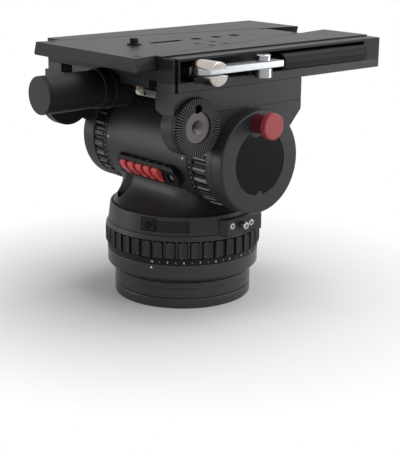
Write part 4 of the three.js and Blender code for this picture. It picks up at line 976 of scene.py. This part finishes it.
switch_bed.cut(rod("drum_space", "X", -90, 90, (0, 0), DRUM_RADIUS + 0.15, 160))
switch_bed.cut(prism("switch_window", eased(WINDOW, 0.6), "Z", SWITCH_FACE - 5.2, 70))
switch_bed.cut(turned("screw_seat", SCREW_SEAT, "Z", (SCREW_X, 0, 0), 48))
switch_bed.moved(to_drum).settle("pan_head", black_plastic, "switch_block")

screw_head = rod("bed_screw", "Z", 54.5, 57.5, (SCREW_X, 0), 3.4, 48, 0.4)
screw_head.cut(block("bed_screw_slot", (SCREW_X - 5, -0.55, 56.6), (SCREW_X + 5, 0.55, 62)))
screw_head.moved(to_drum).settle("pan_head", steel, "switch_block_screw")


def on_bed(x):
    """Places flat print on the side of the switch block that faces up the drum."""
    def where(u, v):
        return to_drum @ Vector((x + u, BED_HALF + PRINT_LIFT, 54.6 - v))
    return where


for i, x in enumerate((-20.4, -7, 6.5, 20, 33.5)):
    stroke(f"bed_mark_{i}", -0.9, -0.2, 0.9, 0.2, on_bed(x), "pan_head")
    stroke(f"bed_flag_{i}", 0.45, -1.2, 0.9, -0.2, on_bed(x), "pan_head")
print("switch block length in mm:", BED_LEFT + BED_RIGHT)

# %% [markdown]
# A fin has the same side view along its whole width, with a hooked tip for the finger. It could be shaped
# from a box, but an outline pushed along the drum keeps the flanks flat and all five fins alike.

# %% Switches
fin_shape = [
    (3, 54.8), (6.6, 54.8), (6.6, 60.2), (8.4, 60.6), (10.5, 61.3, 1.0), (11.5, 62.6, 1.2), (10.1, 64.6, 1.2),
    (7.6, 65.3, 1.6), (4.4, 64.9, 2.5), (0.7, 63.7, 2.5), (-4.5, 60.9, 2.0), (-7.7, 59.8, 0.2), (3, 59.8)]
places = [FIRST_SWITCH + SWITCH_PITCH * i for i in range(SWITCHES)]
for i, x in enumerate(places, 1):
    toggle = prism(f"toggle_{i}", eased(fin_shape, 0.3), "X", x - SWITCH_HALF, x + SWITCH_HALF)
    toggle.rounded(0.35, 2, 40)
    toggle.moved(to_drum).settle(f"switch_{i}", red_plastic, f"switch_{i}")
print("switches at x:", [round(x, 1) for x in places])

# %% [markdown]
# ## The tilt head
# Each cheek is a flat plate joined to the round boss for a pan bar. The plate, the boss and the disc behind
# the cover are one casting, so they are joined before their edges are rounded.

# %% Cheeks
cheek_low, cheek_high = span("cheek_right")
left_face = span("cheek_left")[0].x
BOSS = (-74.9, tilt_height + 43)
BOSS_RADIUS = 28.9
COVER_RADIUS = 53.3
CHEEK_INNER = 96.3
LEFT_INNER = -105
HUB_BORE = 5.2
cheek_shape = [(y, tilt_height + level) for y, level in (
    (-50.7, 16.4), (0, 0), (49.8, 19.3), (58.7, 28.9), (73.5, 44.8), (73.5, 54.4), (-74.9, 54.4), (-57.1, 20.2))]

cheek = prism("cheek_casting_right", cheek_shape, "X", CHEEK_INNER, cheek_high.x)
cheek.join(rod("cover_disc", "X", CHEEK_INNER, cheek_high.x, (0, tilt_height), COVER_RADIUS, 160))
cheek.join(rod("boss", "X", cheek_low.x, cheek_high.x, BOSS, BOSS_RADIUS, 128))
cheek.rounded(0.7, 3, 50)
cheek.cut(rod("bar_thread", "X", 95, 110, BOSS, HUB_BORE, 48))
cheek.settle("tilt_head", charcoal, "cheek_right")

cheek = prism("cheek_casting_left", cheek_shape, "X", left_face, LEFT_INNER)
cheek.join(lathe("rim_disc", [(0, -112), (50.9, -112), (COVER_RADIUS, -109.6), (COVER_RADIUS, -91), (0, -91)],
                 1.6, "X", axis, 160, 6))
cheek.join(rod("boss", "X", left_face, LEFT_INNER, BOSS, BOSS_RADIUS, 128))
cheek.rounded(0.6, 3, 50)
cheek.cut(rod("cover_seat", "X", -120, -107.7, (0, tilt_height), 46.3, 128))
cheek.settle("tilt_head", charcoal, "cheek_left")
print("outer faces of the cheeks at x:", round(left_face, 1), round(cheek_high.x, 1))

# %% [markdown]
# The right cover is a turned disc with a shallow seat for a glossy label, and the left one has a groove.
# The label leaves a notch below and a bay round the lock knob. Cutting both out of a disc would do, but the
# label also has to stay clear of its seat all round, so one outline gives both, the label's a gap smaller.

# %% Covers and the label disc
cap_low, cap_high = span("end_cap_right")
LABEL_RADIUS = 34
LABEL_STEPS = 240
NOTCH_RADIUS = 4
BAY_RADIUS = 14
LOCK_Y = -5
LOCK_RISE = 40.5
LOCK_PLACE = (LOCK_Y, tilt_height + LOCK_RISE)
label_floor = cap_high.x - 2.2
cover = lathe("cover_right", [(0, cap_low.x), (COVER_RADIUS, cap_low.x), (COVER_RADIUS, cap_high.x, 2.4),
                              (0, cap_high.x)], 0.5, "X", axis, 160, 6)


def label_outline(grow):
    """A disc of the label's radius with a notch below and a bay round the lock knob, as (Y, Z) points."""
    bites = ((Vector((0, -LABEL_RADIUS)), NOTCH_RADIUS + grow), (Vector((LOCK_Y, LOCK_RISE)), BAY_RADIUS + grow))
    points = []
    for turn in round_turns(LABEL_STEPS):
        way = Vector(polar(1, turn))
        reach = LABEL_RADIUS - grow
        for centre, radius in bites:
            along = centre.dot(way)
            depth = radius ** 2 - centre.length_squared + along ** 2
            if along > 0 and depth > 0:
                reach = min(reach, along - math.sqrt(depth))
        points.append((way.x * reach, tilt_height + way.y * reach))
    return points


cover.cut(prism("label_seat", label_outline(0), "X", label_floor, cap_high.x + 5))
cover.rounded(0.45, 3, 60)
cover.cut(rod("lock_bore", "X", 111.6, 130, LOCK_PLACE, 9.8, 96))
cover.settle("tilt_head", charcoal, "end_cap_right")

label = prism("label_plate", label_outline(GAP), "X", label_floor + GAP, label_floor + 1.7, 0.3)
label.settle("tilt_head", black_gloss, "label_disc")

cap_low, cap_high = span("end_cap_left")
ring_floor = cap_low.x + 0.6
cover = lathe("cover_left", [
    (0, cap_low.x), (38, cap_low.x), (38.4, ring_floor), (39, ring_floor), (39.4, cap_low.x),
    (46, cap_low.x, 1.6), (46, cap_high.x), (0, cap_high.x)], 0.3, "X", axis, 160, 5)
cover.settle("tilt_head", dark_coat, "end_cap_left")
print("label radius in mm:", LABEL_RADIUS)

# %% [markdown]
# The lock knob is a red mushroom on a stem. It is pulled straight out of the cover against its spring. The stem
# lies in the shadow of the cap, so its darker red is painted shade, and stem and cap are two turned pieces on one
# body.

# %% Lock knob
knob_low, knob_high = span("lock_knob")
CAP_FOOT = 137.4
# the stem's darker red is painted shade from the cap above it
rod("lock_stem", "X", knob_low.x, 137.6, LOCK_PLACE, 9.5, 96).settle("tilt_lock", red_enamel_painted_shade)
mushroom = lathe("lock_mushroom", [(0, CAP_FOOT), (13.2, CAP_FOOT), (13.2, knob_high.x, 1.2), (0, knob_high.x)],
                 0.5, "X", (0, *LOCK_PLACE), 96, 6)
mushroom.settle("tilt_lock", red_enamel, "lock_knob")
print("lock knob ends at x:", round(knob_high.x, 1))

# %% [markdown]
# ## The rosettes
# A pan bar clamps against a ring of sixty radial teeth, round a steel hub with a thread. The height of a
# tooth grows from the hub to the rim, because all its edges point at the centre. Sixty wedge cuts would
# leave slivers there, so the teeth are heights in one skin over rings.

# %% Rosettes and hubs
TEETH = 60
TOOTH_STEPS = 8
TOOTH_TOP = 6.2
TOOTH_DEPTH = 2.6
TOOTH_RADII = [16, 17.2, 20, 23, 26, 28.2, BOSS_RADIUS]
EDGE_DROP = 0.7
PIN_PLACE = (BOSS[0], BOSS[1] + 18.2)
HUB_PROFILE = [(HUB_BORE, 0), (15.7, 0), (15.7, 4.2), (7.2, 4.2), (HUB_BORE, 2.4)]
THREAD_CREST = 4.2
THREAD_STEP = 0.8
INSERT_END = -7


def worn_teeth(side, face, outward):
    """Painted light by the height above the face: painted shade, black, between the teeth, and a painted
    highlight, pale grey, on their crests.
    """
    shader = Shader(f"teeth_{side}")
    out = shader.node("ShaderNodeSeparateXYZ", {}, {"Vector": shader.place()})
    height = out * (outward / MM) - face * outward
    painted_crest_highlight = height.above(TOOTH_TOP - 1.3, TOOTH_TOP - 0.1)
    grain = shader.noise(GRAIN_SCALE, detail=2.0)
    # painted highlight on the crests and painted shade in the hollows between them
    shader.set(base_color=shader.mix(painted_crest_highlight, (0.004, 0.004, 0.004), (0.1, 0.095, 0.09)))
    shader.set(roughness=grain * 0.1 + 0.36, specular_ior_level=0.25)
    return shader.material


def rosette(side, face, outward):
    """A toothed ring and its hub on the outer face of a cheek. outward is 1 for +X and -1 for -X."""
    steps = TEETH * TOOTH_STEPS

    def height(i, radius):
        tooth = min(1.0, 1.34 * (1 - abs(2 * (i % TOOTH_STEPS) / TOOTH_STEPS - 1)))
        edge = EDGE_DROP if radius == BOSS_RADIUS else 0.0
        return TOOTH_TOP - TOOTH_DEPTH * radius / BOSS_RADIUS * (1 - tooth) - edge

    def ring(radius, heights):
        spots = [polar(radius, turn) for turn in round_turns(steps)]
        return [(face + outward * h, BOSS[0] + u, BOSS[1] + v) for h, (u, v) in zip(heights, spots)]

    def placed(profile):
        return [(radius, face + outward * h) for radius, h in profile]

    def bar(name, start, end, place, radius, corners):
        return rod(name, "X", *sorted((face + outward * start, face + outward * end)), place, radius, corners)

    rings = [ring(TOOTH_RADII[0], [0] * steps)]
    rings += [ring(radius, [height(i, radius) for i in range(steps)]) for radius in TOOTH_RADII]
    rings += [ring(BOSS_RADIUS, [0.4] * steps), ring(BOSS_RADIUS - 0.5, [0] * steps)]
    teeth = skinned(f"rosette_teeth_{side}", rings, capped=False)
    teeth.cut(bar("pin_hole", 1.2, 9, PIN_PLACE, 4.6, 64))
    teeth.settle("tilt_head", worn_teeth(side, face, outward), f"rosette_{side}", sharp=20)

    hub = turned(f"hub_disc_{side}", placed(eased(HUB_PROFILE, 0.35)), "X", (0, *BOSS), 96, closed=True)
    hub.cut(bar("pin_hole", 1.2, 9, PIN_PLACE, 4.6, 64))
    hub.settle("tilt_head", hub_steel, f"hub_{side}")
    flanks = [(HUB_BORE if k % 2 else THREAD_CREST, INSERT_END + 0.6 + THREAD_STEP * k) for k in range(11)]
    insert = [(4.1, INSERT_END)] + flanks + [(5.3, 2.6), (5.3, INSERT_END)]
    thread = turned(f"bar_insert_{side}", placed(insert), "X", (0, *BOSS), 64, closed=True)
    thread.settle("tilt_head", hub_steel, sharp=20)
    # painted shade: near-black discs at the bottom of the thread bore and the pin hole, where only shade falls
    bar(f"insert_floor_{side}", -6.9, -6.2, BOSS, 4.6, 48).settle("tilt_head", painted_hole_shade)
    bar(f"pin_floor_{side}", 1.3, 1.8, PIN_PLACE, 4.5, 48).settle("tilt_head", painted_hole_shade)


rosette("right", cheek_high.x + GAP, 1)
rosette("left", left_face - GAP, -1)
print("teeth on each rosette:", TEETH)

# %% [markdown]
# ## The platform
# Two beams on the cheeks carry the platform: a slab, the clamp body with its tapered channel, and a side
# rail that stands off it by a hairline gap. They are milled from flat bar, so they are boxes and prisms that
# are joined and cut, and only their edges are rounded.

# %% Beams
beam_low, beam_high = span("beam_right")
left_outer = -span("beam_left")[0].x
BEAM_INNER = 76.5
BEAM_STEP = 87.2
BEAM_FOOT = 54.7
BEAM_TOP = 77.7
BEAMS = (("right", beam_high.x, 1, (BEAM_STEP, 110)), ("left", left_outer, -1, (-118, -104.7)))
for side, outer, sign, clear in BEAMS:
    shape = [(sign * x, tilt_height + level) for x, level in (
        (BEAM_INNER, 59.1), (BEAM_STEP, BEAM_FOOT), (outer, BEAM_FOOT), (outer, BEAM_TOP), (BEAM_INNER, BEAM_TOP))]
    beam = prism(f"beam_bar_{side}", shape, "Y", beam_low.y, beam_high.y)
    beam.cut(rod("boss_space", "X", *clear, BOSS, BOSS_RADIUS + GAP, 128))
    beam.rounded(0.5, 3, 40)
    beam.settle("tilt_head", charcoal, f"beam_{side}")
print("beam length in mm:", round(beam_high.y - beam_low.y, 1))

# %% [markdown]
# The channel narrows towards the front as the camera plate does. One function gives the plate's width at
# any place along it, and both are drawn from it, so they always fit.

# %% Slab, clamp body and side rail
slab_low, slab_high = span("platform_slab")
clamp_low, clamp_high = span("clamp_body")
rail_low, rail_high = span("side_rail")
plate_low, plate_high = span("wedge_plate")
KNOB_AXIS = (0, tilt_height + 71.3)
BARREL_AXIS = (-69, tilt_height + 96.8)
TAPER = 54.5 / 279
REAR_HALF = 83
UNDERCUT = 4
CHANNEL_REAR = -99.7


def half_width(y):
    """Half the width of the camera plate's top at a place along it."""
    return REAR_HALF - TAPER * (y - plate_low.y)


def wedge(name, levels, rear, front):
    """A tapered bar between two places along Y. levels are (height, how much wider than the plate's top)."""
    rings = []
    for height, grow in levels:
        a, b = half_width(rear) + grow, half_width(front) + grow
        rings.append([(-a, rear, height), (a, rear, height), (b, front, height), (-b, front, height)])
    return skinned(name, rings)


def housing_space():
    return rod("housing_space", "Y", -110, -66.7, KNOB_AXIS, 21.3, 96)


def barrel_space():
    return rod("barrel_space", "X", 87.8, 112, BARREL_AXIS, 12.3, 96)


slab = block("slab_plate", slab_low, slab_high)
slab.cut(block("slot", (-79, -110, 230), (-64, -35, 260)), block("slot", (64, -110, 230), (79, -35, 260)),
         block("slot", (-80, -110, 230), (80, -99, 260)), housing_space(),
         rod("nut_space", "Y", -106, 76, KNOB_AXIS, 11.2, 64), barrel_space(),
         block("slot", (100, CHANNEL_REAR, 230), (110, -95.5, 260)))
slab.rounded(0.4, 2, 40)
slab.settle("platform", charcoal, "platform_slab")

clamp = block("clamp_bar", (-104, clamp_low.y, clamp_low.z), (86, clamp_high.y, clamp_high.z))
clamp.join(block("corner", (80, clamp_low.y, clamp_low.z), (104, CHANNEL_REAR, rail_high.z)))
channel_top = clamp_high.z + 4
channel = [(plate_low.z - GAP, 4.9), (channel_top, 1.5 - 4 * 4.6 / 14.1)]
clamp.cut(wedge("channel", channel, -110, 210), housing_space())
clamp.rounded(0.45, 3, 35)
clamp.settle("platform", plate_coat, "clamp_body")

rail = block("rail_bar", rail_low, rail_high)
rail.cut(block("pocket", (88, -93, 240), (110, 170.3, rail_high.z - 2.4)), barrel_space())
rail.rounded(0.4, 3, 35)
rail.settle("platform", plate_coat, "side_rail")

grip_low, grip_high = span("grip_bar")
grip_radius = (grip_high.z - grip_low.z) / 2
grip_round = arc(grip_high.x - grip_radius, grip_low.z + grip_radius, grip_radius, -90, 90, 32)
grip_shape = [(grip_low.x, grip_low.z)] + grip_round + [(grip_low.x, grip_high.z)]
grip = prism("grip_rail", grip_shape, "Y", grip_low.y, grip_high.y, 1.2, 4)
grip.settle("platform", soft_black, "grip_bar")
print("channel narrows per side by:", round(TAPER, 3))

# %% [markdown]
# ## The camera plate
# The plate is a long wedge with undercut sides that slides into the channel. Its front holes take camera
# screws, and the stud at the rear holds the camera. The small screws lie flush in countersunk seats. Each
# hole is cut with a turned piece, because a drill leaves just such a shape.

# %% Camera plate
ABOVE = 280
STUD_PLACE = (0, -66.6)
SLOT_HALF = 4.5
CAMERA_HOLE = [(0, 255), (6.2, 255), (6.2, 275.4), (6.5, 275.7), (6.5, ABOVE), (0, ABOVE)]
STUD_SEAT = [(0, 270.8), (7.6, 270.8), (7.6, ABOVE), (0, ABOVE)]
SCREWS = [(34, -10, 3.2), (30, 15, 3.2), (51, -6, 3.2), (48, 17, 3.2), (71, -119, 3.4), (-71, -119, 3.4),
          (26, 141, 3), (-26, 141, 3)]
plate = wedge("camera_wedge", [(plate_low.z, UNDERCUT - 1.6), (plate_low.z + 1.6, UNDERCUT), (plate_high.z, 0)],
              plate_low.y, plate_high.y)
plate.rounded(0.5, 3, 20)
for y in (18.2, 46.7, 73.1):
    plate.cut(turned("hole", CAMERA_HOLE, "Z", (0, y, 0), 64))
slot_shape = arc(0, -41.5, SLOT_HALF, 180, 360) + arc(0, -8.1, SLOT_HALF, 0, 180)
plate.cut(prism("slot", slot_shape, "Z", 250, 290))
plate.cut(turned("stud_seat", STUD_SEAT, "Z", (*STUD_PLACE, 0), 64))
for x, y, radius in SCREWS:
    plate.cut(rod("seat", "Z", 272.6, ABOVE, (x, y), radius + 0.5, 40))
plate.settle("camera_plate", plate_coat, "wedge_plate")
for i, (x, y, radius) in enumerate(SCREWS, 1):
    head = rod(f"plate_screw_{i}", "Z", 271.8, 274.8, (x, y), radius, 40, 0.4)
    head.cut(prism("socket", hexagon(x, y, 1.5), "Z", 273.2, ABOVE))
    head.settle("camera_plate", dark_coat)

stud_low, stud_high = span("camera_stud")
flange = lathe("stud_flange", [(0, stud_low.z), (7.3, stud_low.z), (7.3, 276.9), (0, 276.9)], 0.5, "Z",
               (*STUD_PLACE, 0), 64)
flange.settle("camera_plate", dark_coat, "camera_stud")
stud = threaded("stud_thread", "Z", 274, stud_high.z, STUD_PLACE, 4.8, 1.59, 0.6, end=1.0)
stud.settle("camera_plate", dark_coat)
print("screws in the camera plate:", len(SCREWS))

# %% [markdown]
# ## The balance screw
# Turning the long knob drives a screw through a nut on the tilt head, and the platform slides on the beams.
# The thread is a helix: its height in the pitch depends on the angle as well as on the place along it. A
# screw modifier could wind it, but a skin over rings also ends in clean flat faces.

# %% Balance knob, screw and nut
bal_low, bal_high = span("balance_knob")
hous_low, hous_high = span("knob_housing")
lead_low, lead_high = span("lead_screw")
SCREW_BORE = 6.3
GRIP_RADIUS = 19
HANDLE = (0, 0, KNOB_AXIS[1])
disc_front = bal_low.y + 2
collar = lathe("screw_housing", [
    (SCREW_BORE, hous_low.y), (21, hous_low.y), (21, hous_high.y), (SCREW_BORE, hous_high.y)],
    1.0, "Y", HANDLE, ring=True)
collar.settle("platform", dark_coat, "knob_housing")
knob = lathe("balance_grip", [
    (0, bal_low.y + 2.2), (18.4, bal_low.y + 2.2), (18.4, bal_low.y + 3), (GRIP_RADIUS, bal_low.y + 3.4),
    (GRIP_RADIUS, -117.8, 0.6), (20.3, -117.2), (20.5, -106.3, 0.3), (9.5, -106.3), (9.5, bal_high.y),
    (SCREW_BORE, bal_high.y), (SCREW_BORE, -114), (0, -114)], 0.35, "Y", HANDLE)
knob.settle("balance_knob", soft_black, "balance_knob")
end_disc = lathe("knob_end", [(0, bal_low.y), (GRIP_RADIUS, bal_low.y, 1.4), (GRIP_RADIUS, disc_front),
                              (0, disc_front)], 0.4, "Y", HANDLE, turns=5)
end_disc.settle("balance_knob", dark_coat)
lead = threaded("balance_screw", "Y", lead_low.y, lead_high.y, KNOB_AXIS, 6, 4, 1.3, end=1.5)
lead.settle("balance_knob", brass, "lead_screw")
machined("lead_nut", 0.6).settle("tilt_head", brass, "lead_nut")
machined("nut_bracket", 0.35).settle("tilt_head", link_steel, "nut_bracket")
print("lead screw length in mm:", round(lead_high.y - lead_low.y, 1))

# %% [markdown]
# ## The lever clamp
# The bright lever turns on a post and draws a nickel barrel out of the side rail, which lets the plate go.
# The lever is flat with one round end, so it is a prism. Barrel and bracket are milled CAD solids.

# %% Lever, barrel and pivot
lever_low, lever_high = span("clamp_lever")
PIVOT = pins["lever_turn"].xy
half = (lever_high.x - lever_low.x) / 2
shape = arc(PIVOT.x, lever_low.y + half, half, 180, 360, 32)
shape += [(lever_high.x, lever_high.y), (lever_low.x, lever_high.y)]
lever = prism("lever_bar", shape, "Z", lever_low.z, lever_high.z, 0.8)
lever.cut(rod("hole", "Z", 250, 280, PIVOT, 4, 48))
lever.settle("clamp_lever", aluminium, "clamp_lever")
machined("clamp_barrel", 0.3).settle("clamp_barrel", nickel, "clamp_barrel")

post_low, post_high = span("pivot_screw")
under, over = lever_low.z - GAP, lever_high.z + GAP
post = lathe("pivot_post", [
    (0, post_low.z), (9, post_low.z), (9, under), (3.7, under), (3.7, over), (7.3, over), (7.3, post_high.z, 1.0),
    (0, post_high.z)], 0.4, "Z", (*PIVOT, 0), 96)
post.cut(prism("socket", hexagon(*PIVOT, 2.9), "Z", post_high.z - SOCKET_DEPTH, post_high.z + BEYOND))
post.settle("platform", pale_steel, "pivot_screw")
machined("lever_bracket", 0.5).settle("platform", dark_coat, "lever_bracket")
print("lever turns at:", round(PIVOT.x, 1), round(PIVOT.y, 1))

# %% [markdown]
# ## What stays as it came
# The pieces inside the head keep their plain solids and take a finish only. They are out of sight, so finer
# meshes would cost time and show nothing.

# %% Inner pieces
INNER = {
    "pan_spindle": steel, "pan_bearing_lower": steel, "pan_bearing_upper": steel, "pan_drag_cartridge": dark_coat,
    "battery": battery_wrap, "tilt_bearing_left": steel, "tilt_bearing_right": steel, "spring_pack": steel,
    "tilt_drag_left": dark_coat, "tilt_drag_right": dark_coat, "tilt_shaft": steel}
for node, material in INNER.items():
    kept = frame["nodes"][node].data
    kept.materials.clear()
    kept.materials.append(material)
print("inner pieces:", len(INNER))

# %% [markdown]
# ## Light
# Dark satin metal shows its shape by what it reflects, so the lights are large soft panels. One high on
# the right models the covers, one low on the left edges the drum, and a pale surround fills the rest. The
# camera sees the surround as white, which a Light Path switch does without lighting the head more.

# %% Lights
AIM = Vector((0, 0, 0.15))


def panel_light(name, place, width, height, power):
    data = bpy.data.lights.new(name, "AREA")
    data.shape = "RECTANGLE"
    data.size = width
    data.size_y = height
    data.energy = power
    lamp = added(name, data)
    lamp.location = place
    lamp.rotation_euler = (AIM - Vector(place)).to_track_quat("-Z", "Y").to_euler()


panel_light("key", (1.5, 0.3, 1.5), 1.0, 1.0, 9)
panel_light("left_strip", (-0.86, -0.97, 0.3), 0.28, 0.7, 3.4)
panel_light("right_strip", (0.86, 0.97, 0.3), 0.28, 0.7, 3)
panel_light("top_soft", (0.2, 0.8, 1.7), 1.4, 1.0, 12)

world = bpy.data.worlds.new("surround")
world.use_nodes = True
bpy.context.scene.world = world
sky = Nodes(world.node_tree)
background = sky.tree.nodes["Background"]
sky.feed(background.inputs["Color"], (0.75, 0.77, 0.8))
sky.feed(background.inputs["Strength"], 0.55)
clean = sky.node("ShaderNodeBackground", {}, {"Color": (1, 1, 1), "Strength": 1.0})
shows = sky.node("ShaderNodeLightPath", {}, {}, "Is Camera Ray")
for kind in ("Is Glossy Ray", "Is Transmission Ray"):
    shows = shows.maths("MAXIMUM", shows, sky.node("ShaderNodeLightPath", {}, {}, kind))
fill = Wire(sky, background.outputs["Background"])
seen = sky.node("ShaderNodeMixShader", {}, {0: shows, 1: fill, 2: clean})
sky.feed(sky.tree.nodes["World Output"].inputs["Surface"], seen)
print("lights:", len(bpy.data.lights))

# %% [markdown]
# The head stands on white paper. A plain floor would end in a grey horizon, so a short way out from the base
# it turns into a white glow for the camera alone, and the soft shadow near the foot stays.

# %% Floor
REACH = 4
bm = bmesh.new()
corners = [(x * REACH, y * REACH, 0) for x, y in ((-1, -1), (1, -1), (1, 1), (-1, 1))]
bm.faces.new([bm.verts.new(corner) for corner in corners])
mesh = bpy.data.meshes.new("floor")
bm.to_mesh(mesh)
bm.free()
floor = added("floor", mesh)
shader = Shader("paper")
shader.set(base_color=(0.84, 0.84, 0.84), roughness=0.85, specular_ior_level=0.2)
path = shader.node("ShaderNodeLightPath", {}, {})
away = shader.node("ShaderNodeVectorMath", {"operation": "LENGTH"}, {0: shader.place()}, 1)
blank = shader.node("ShaderNodeEmission", {}, {"Color": (1, 1, 1), "Strength": 1.0})
fade = path * away.above(0.1, 0.34)
lit = Wire(shader, shader.surface.outputs["BSDF"])
sheet = shader.node("ShaderNodeMixShader", {}, {0: fade, 1: lit, 2: blank})
shader.feed(shader.tree.nodes["Material Output"].inputs["Surface"], sheet)
mesh.materials.append(shader.material)
print("floor reaches out in metres:", REACH)

# %% [markdown]
# ## View transform
# The render uses the Standard view transform.

# %% View transform
bpy.context.scene.view_settings.view_transform = "Standard"
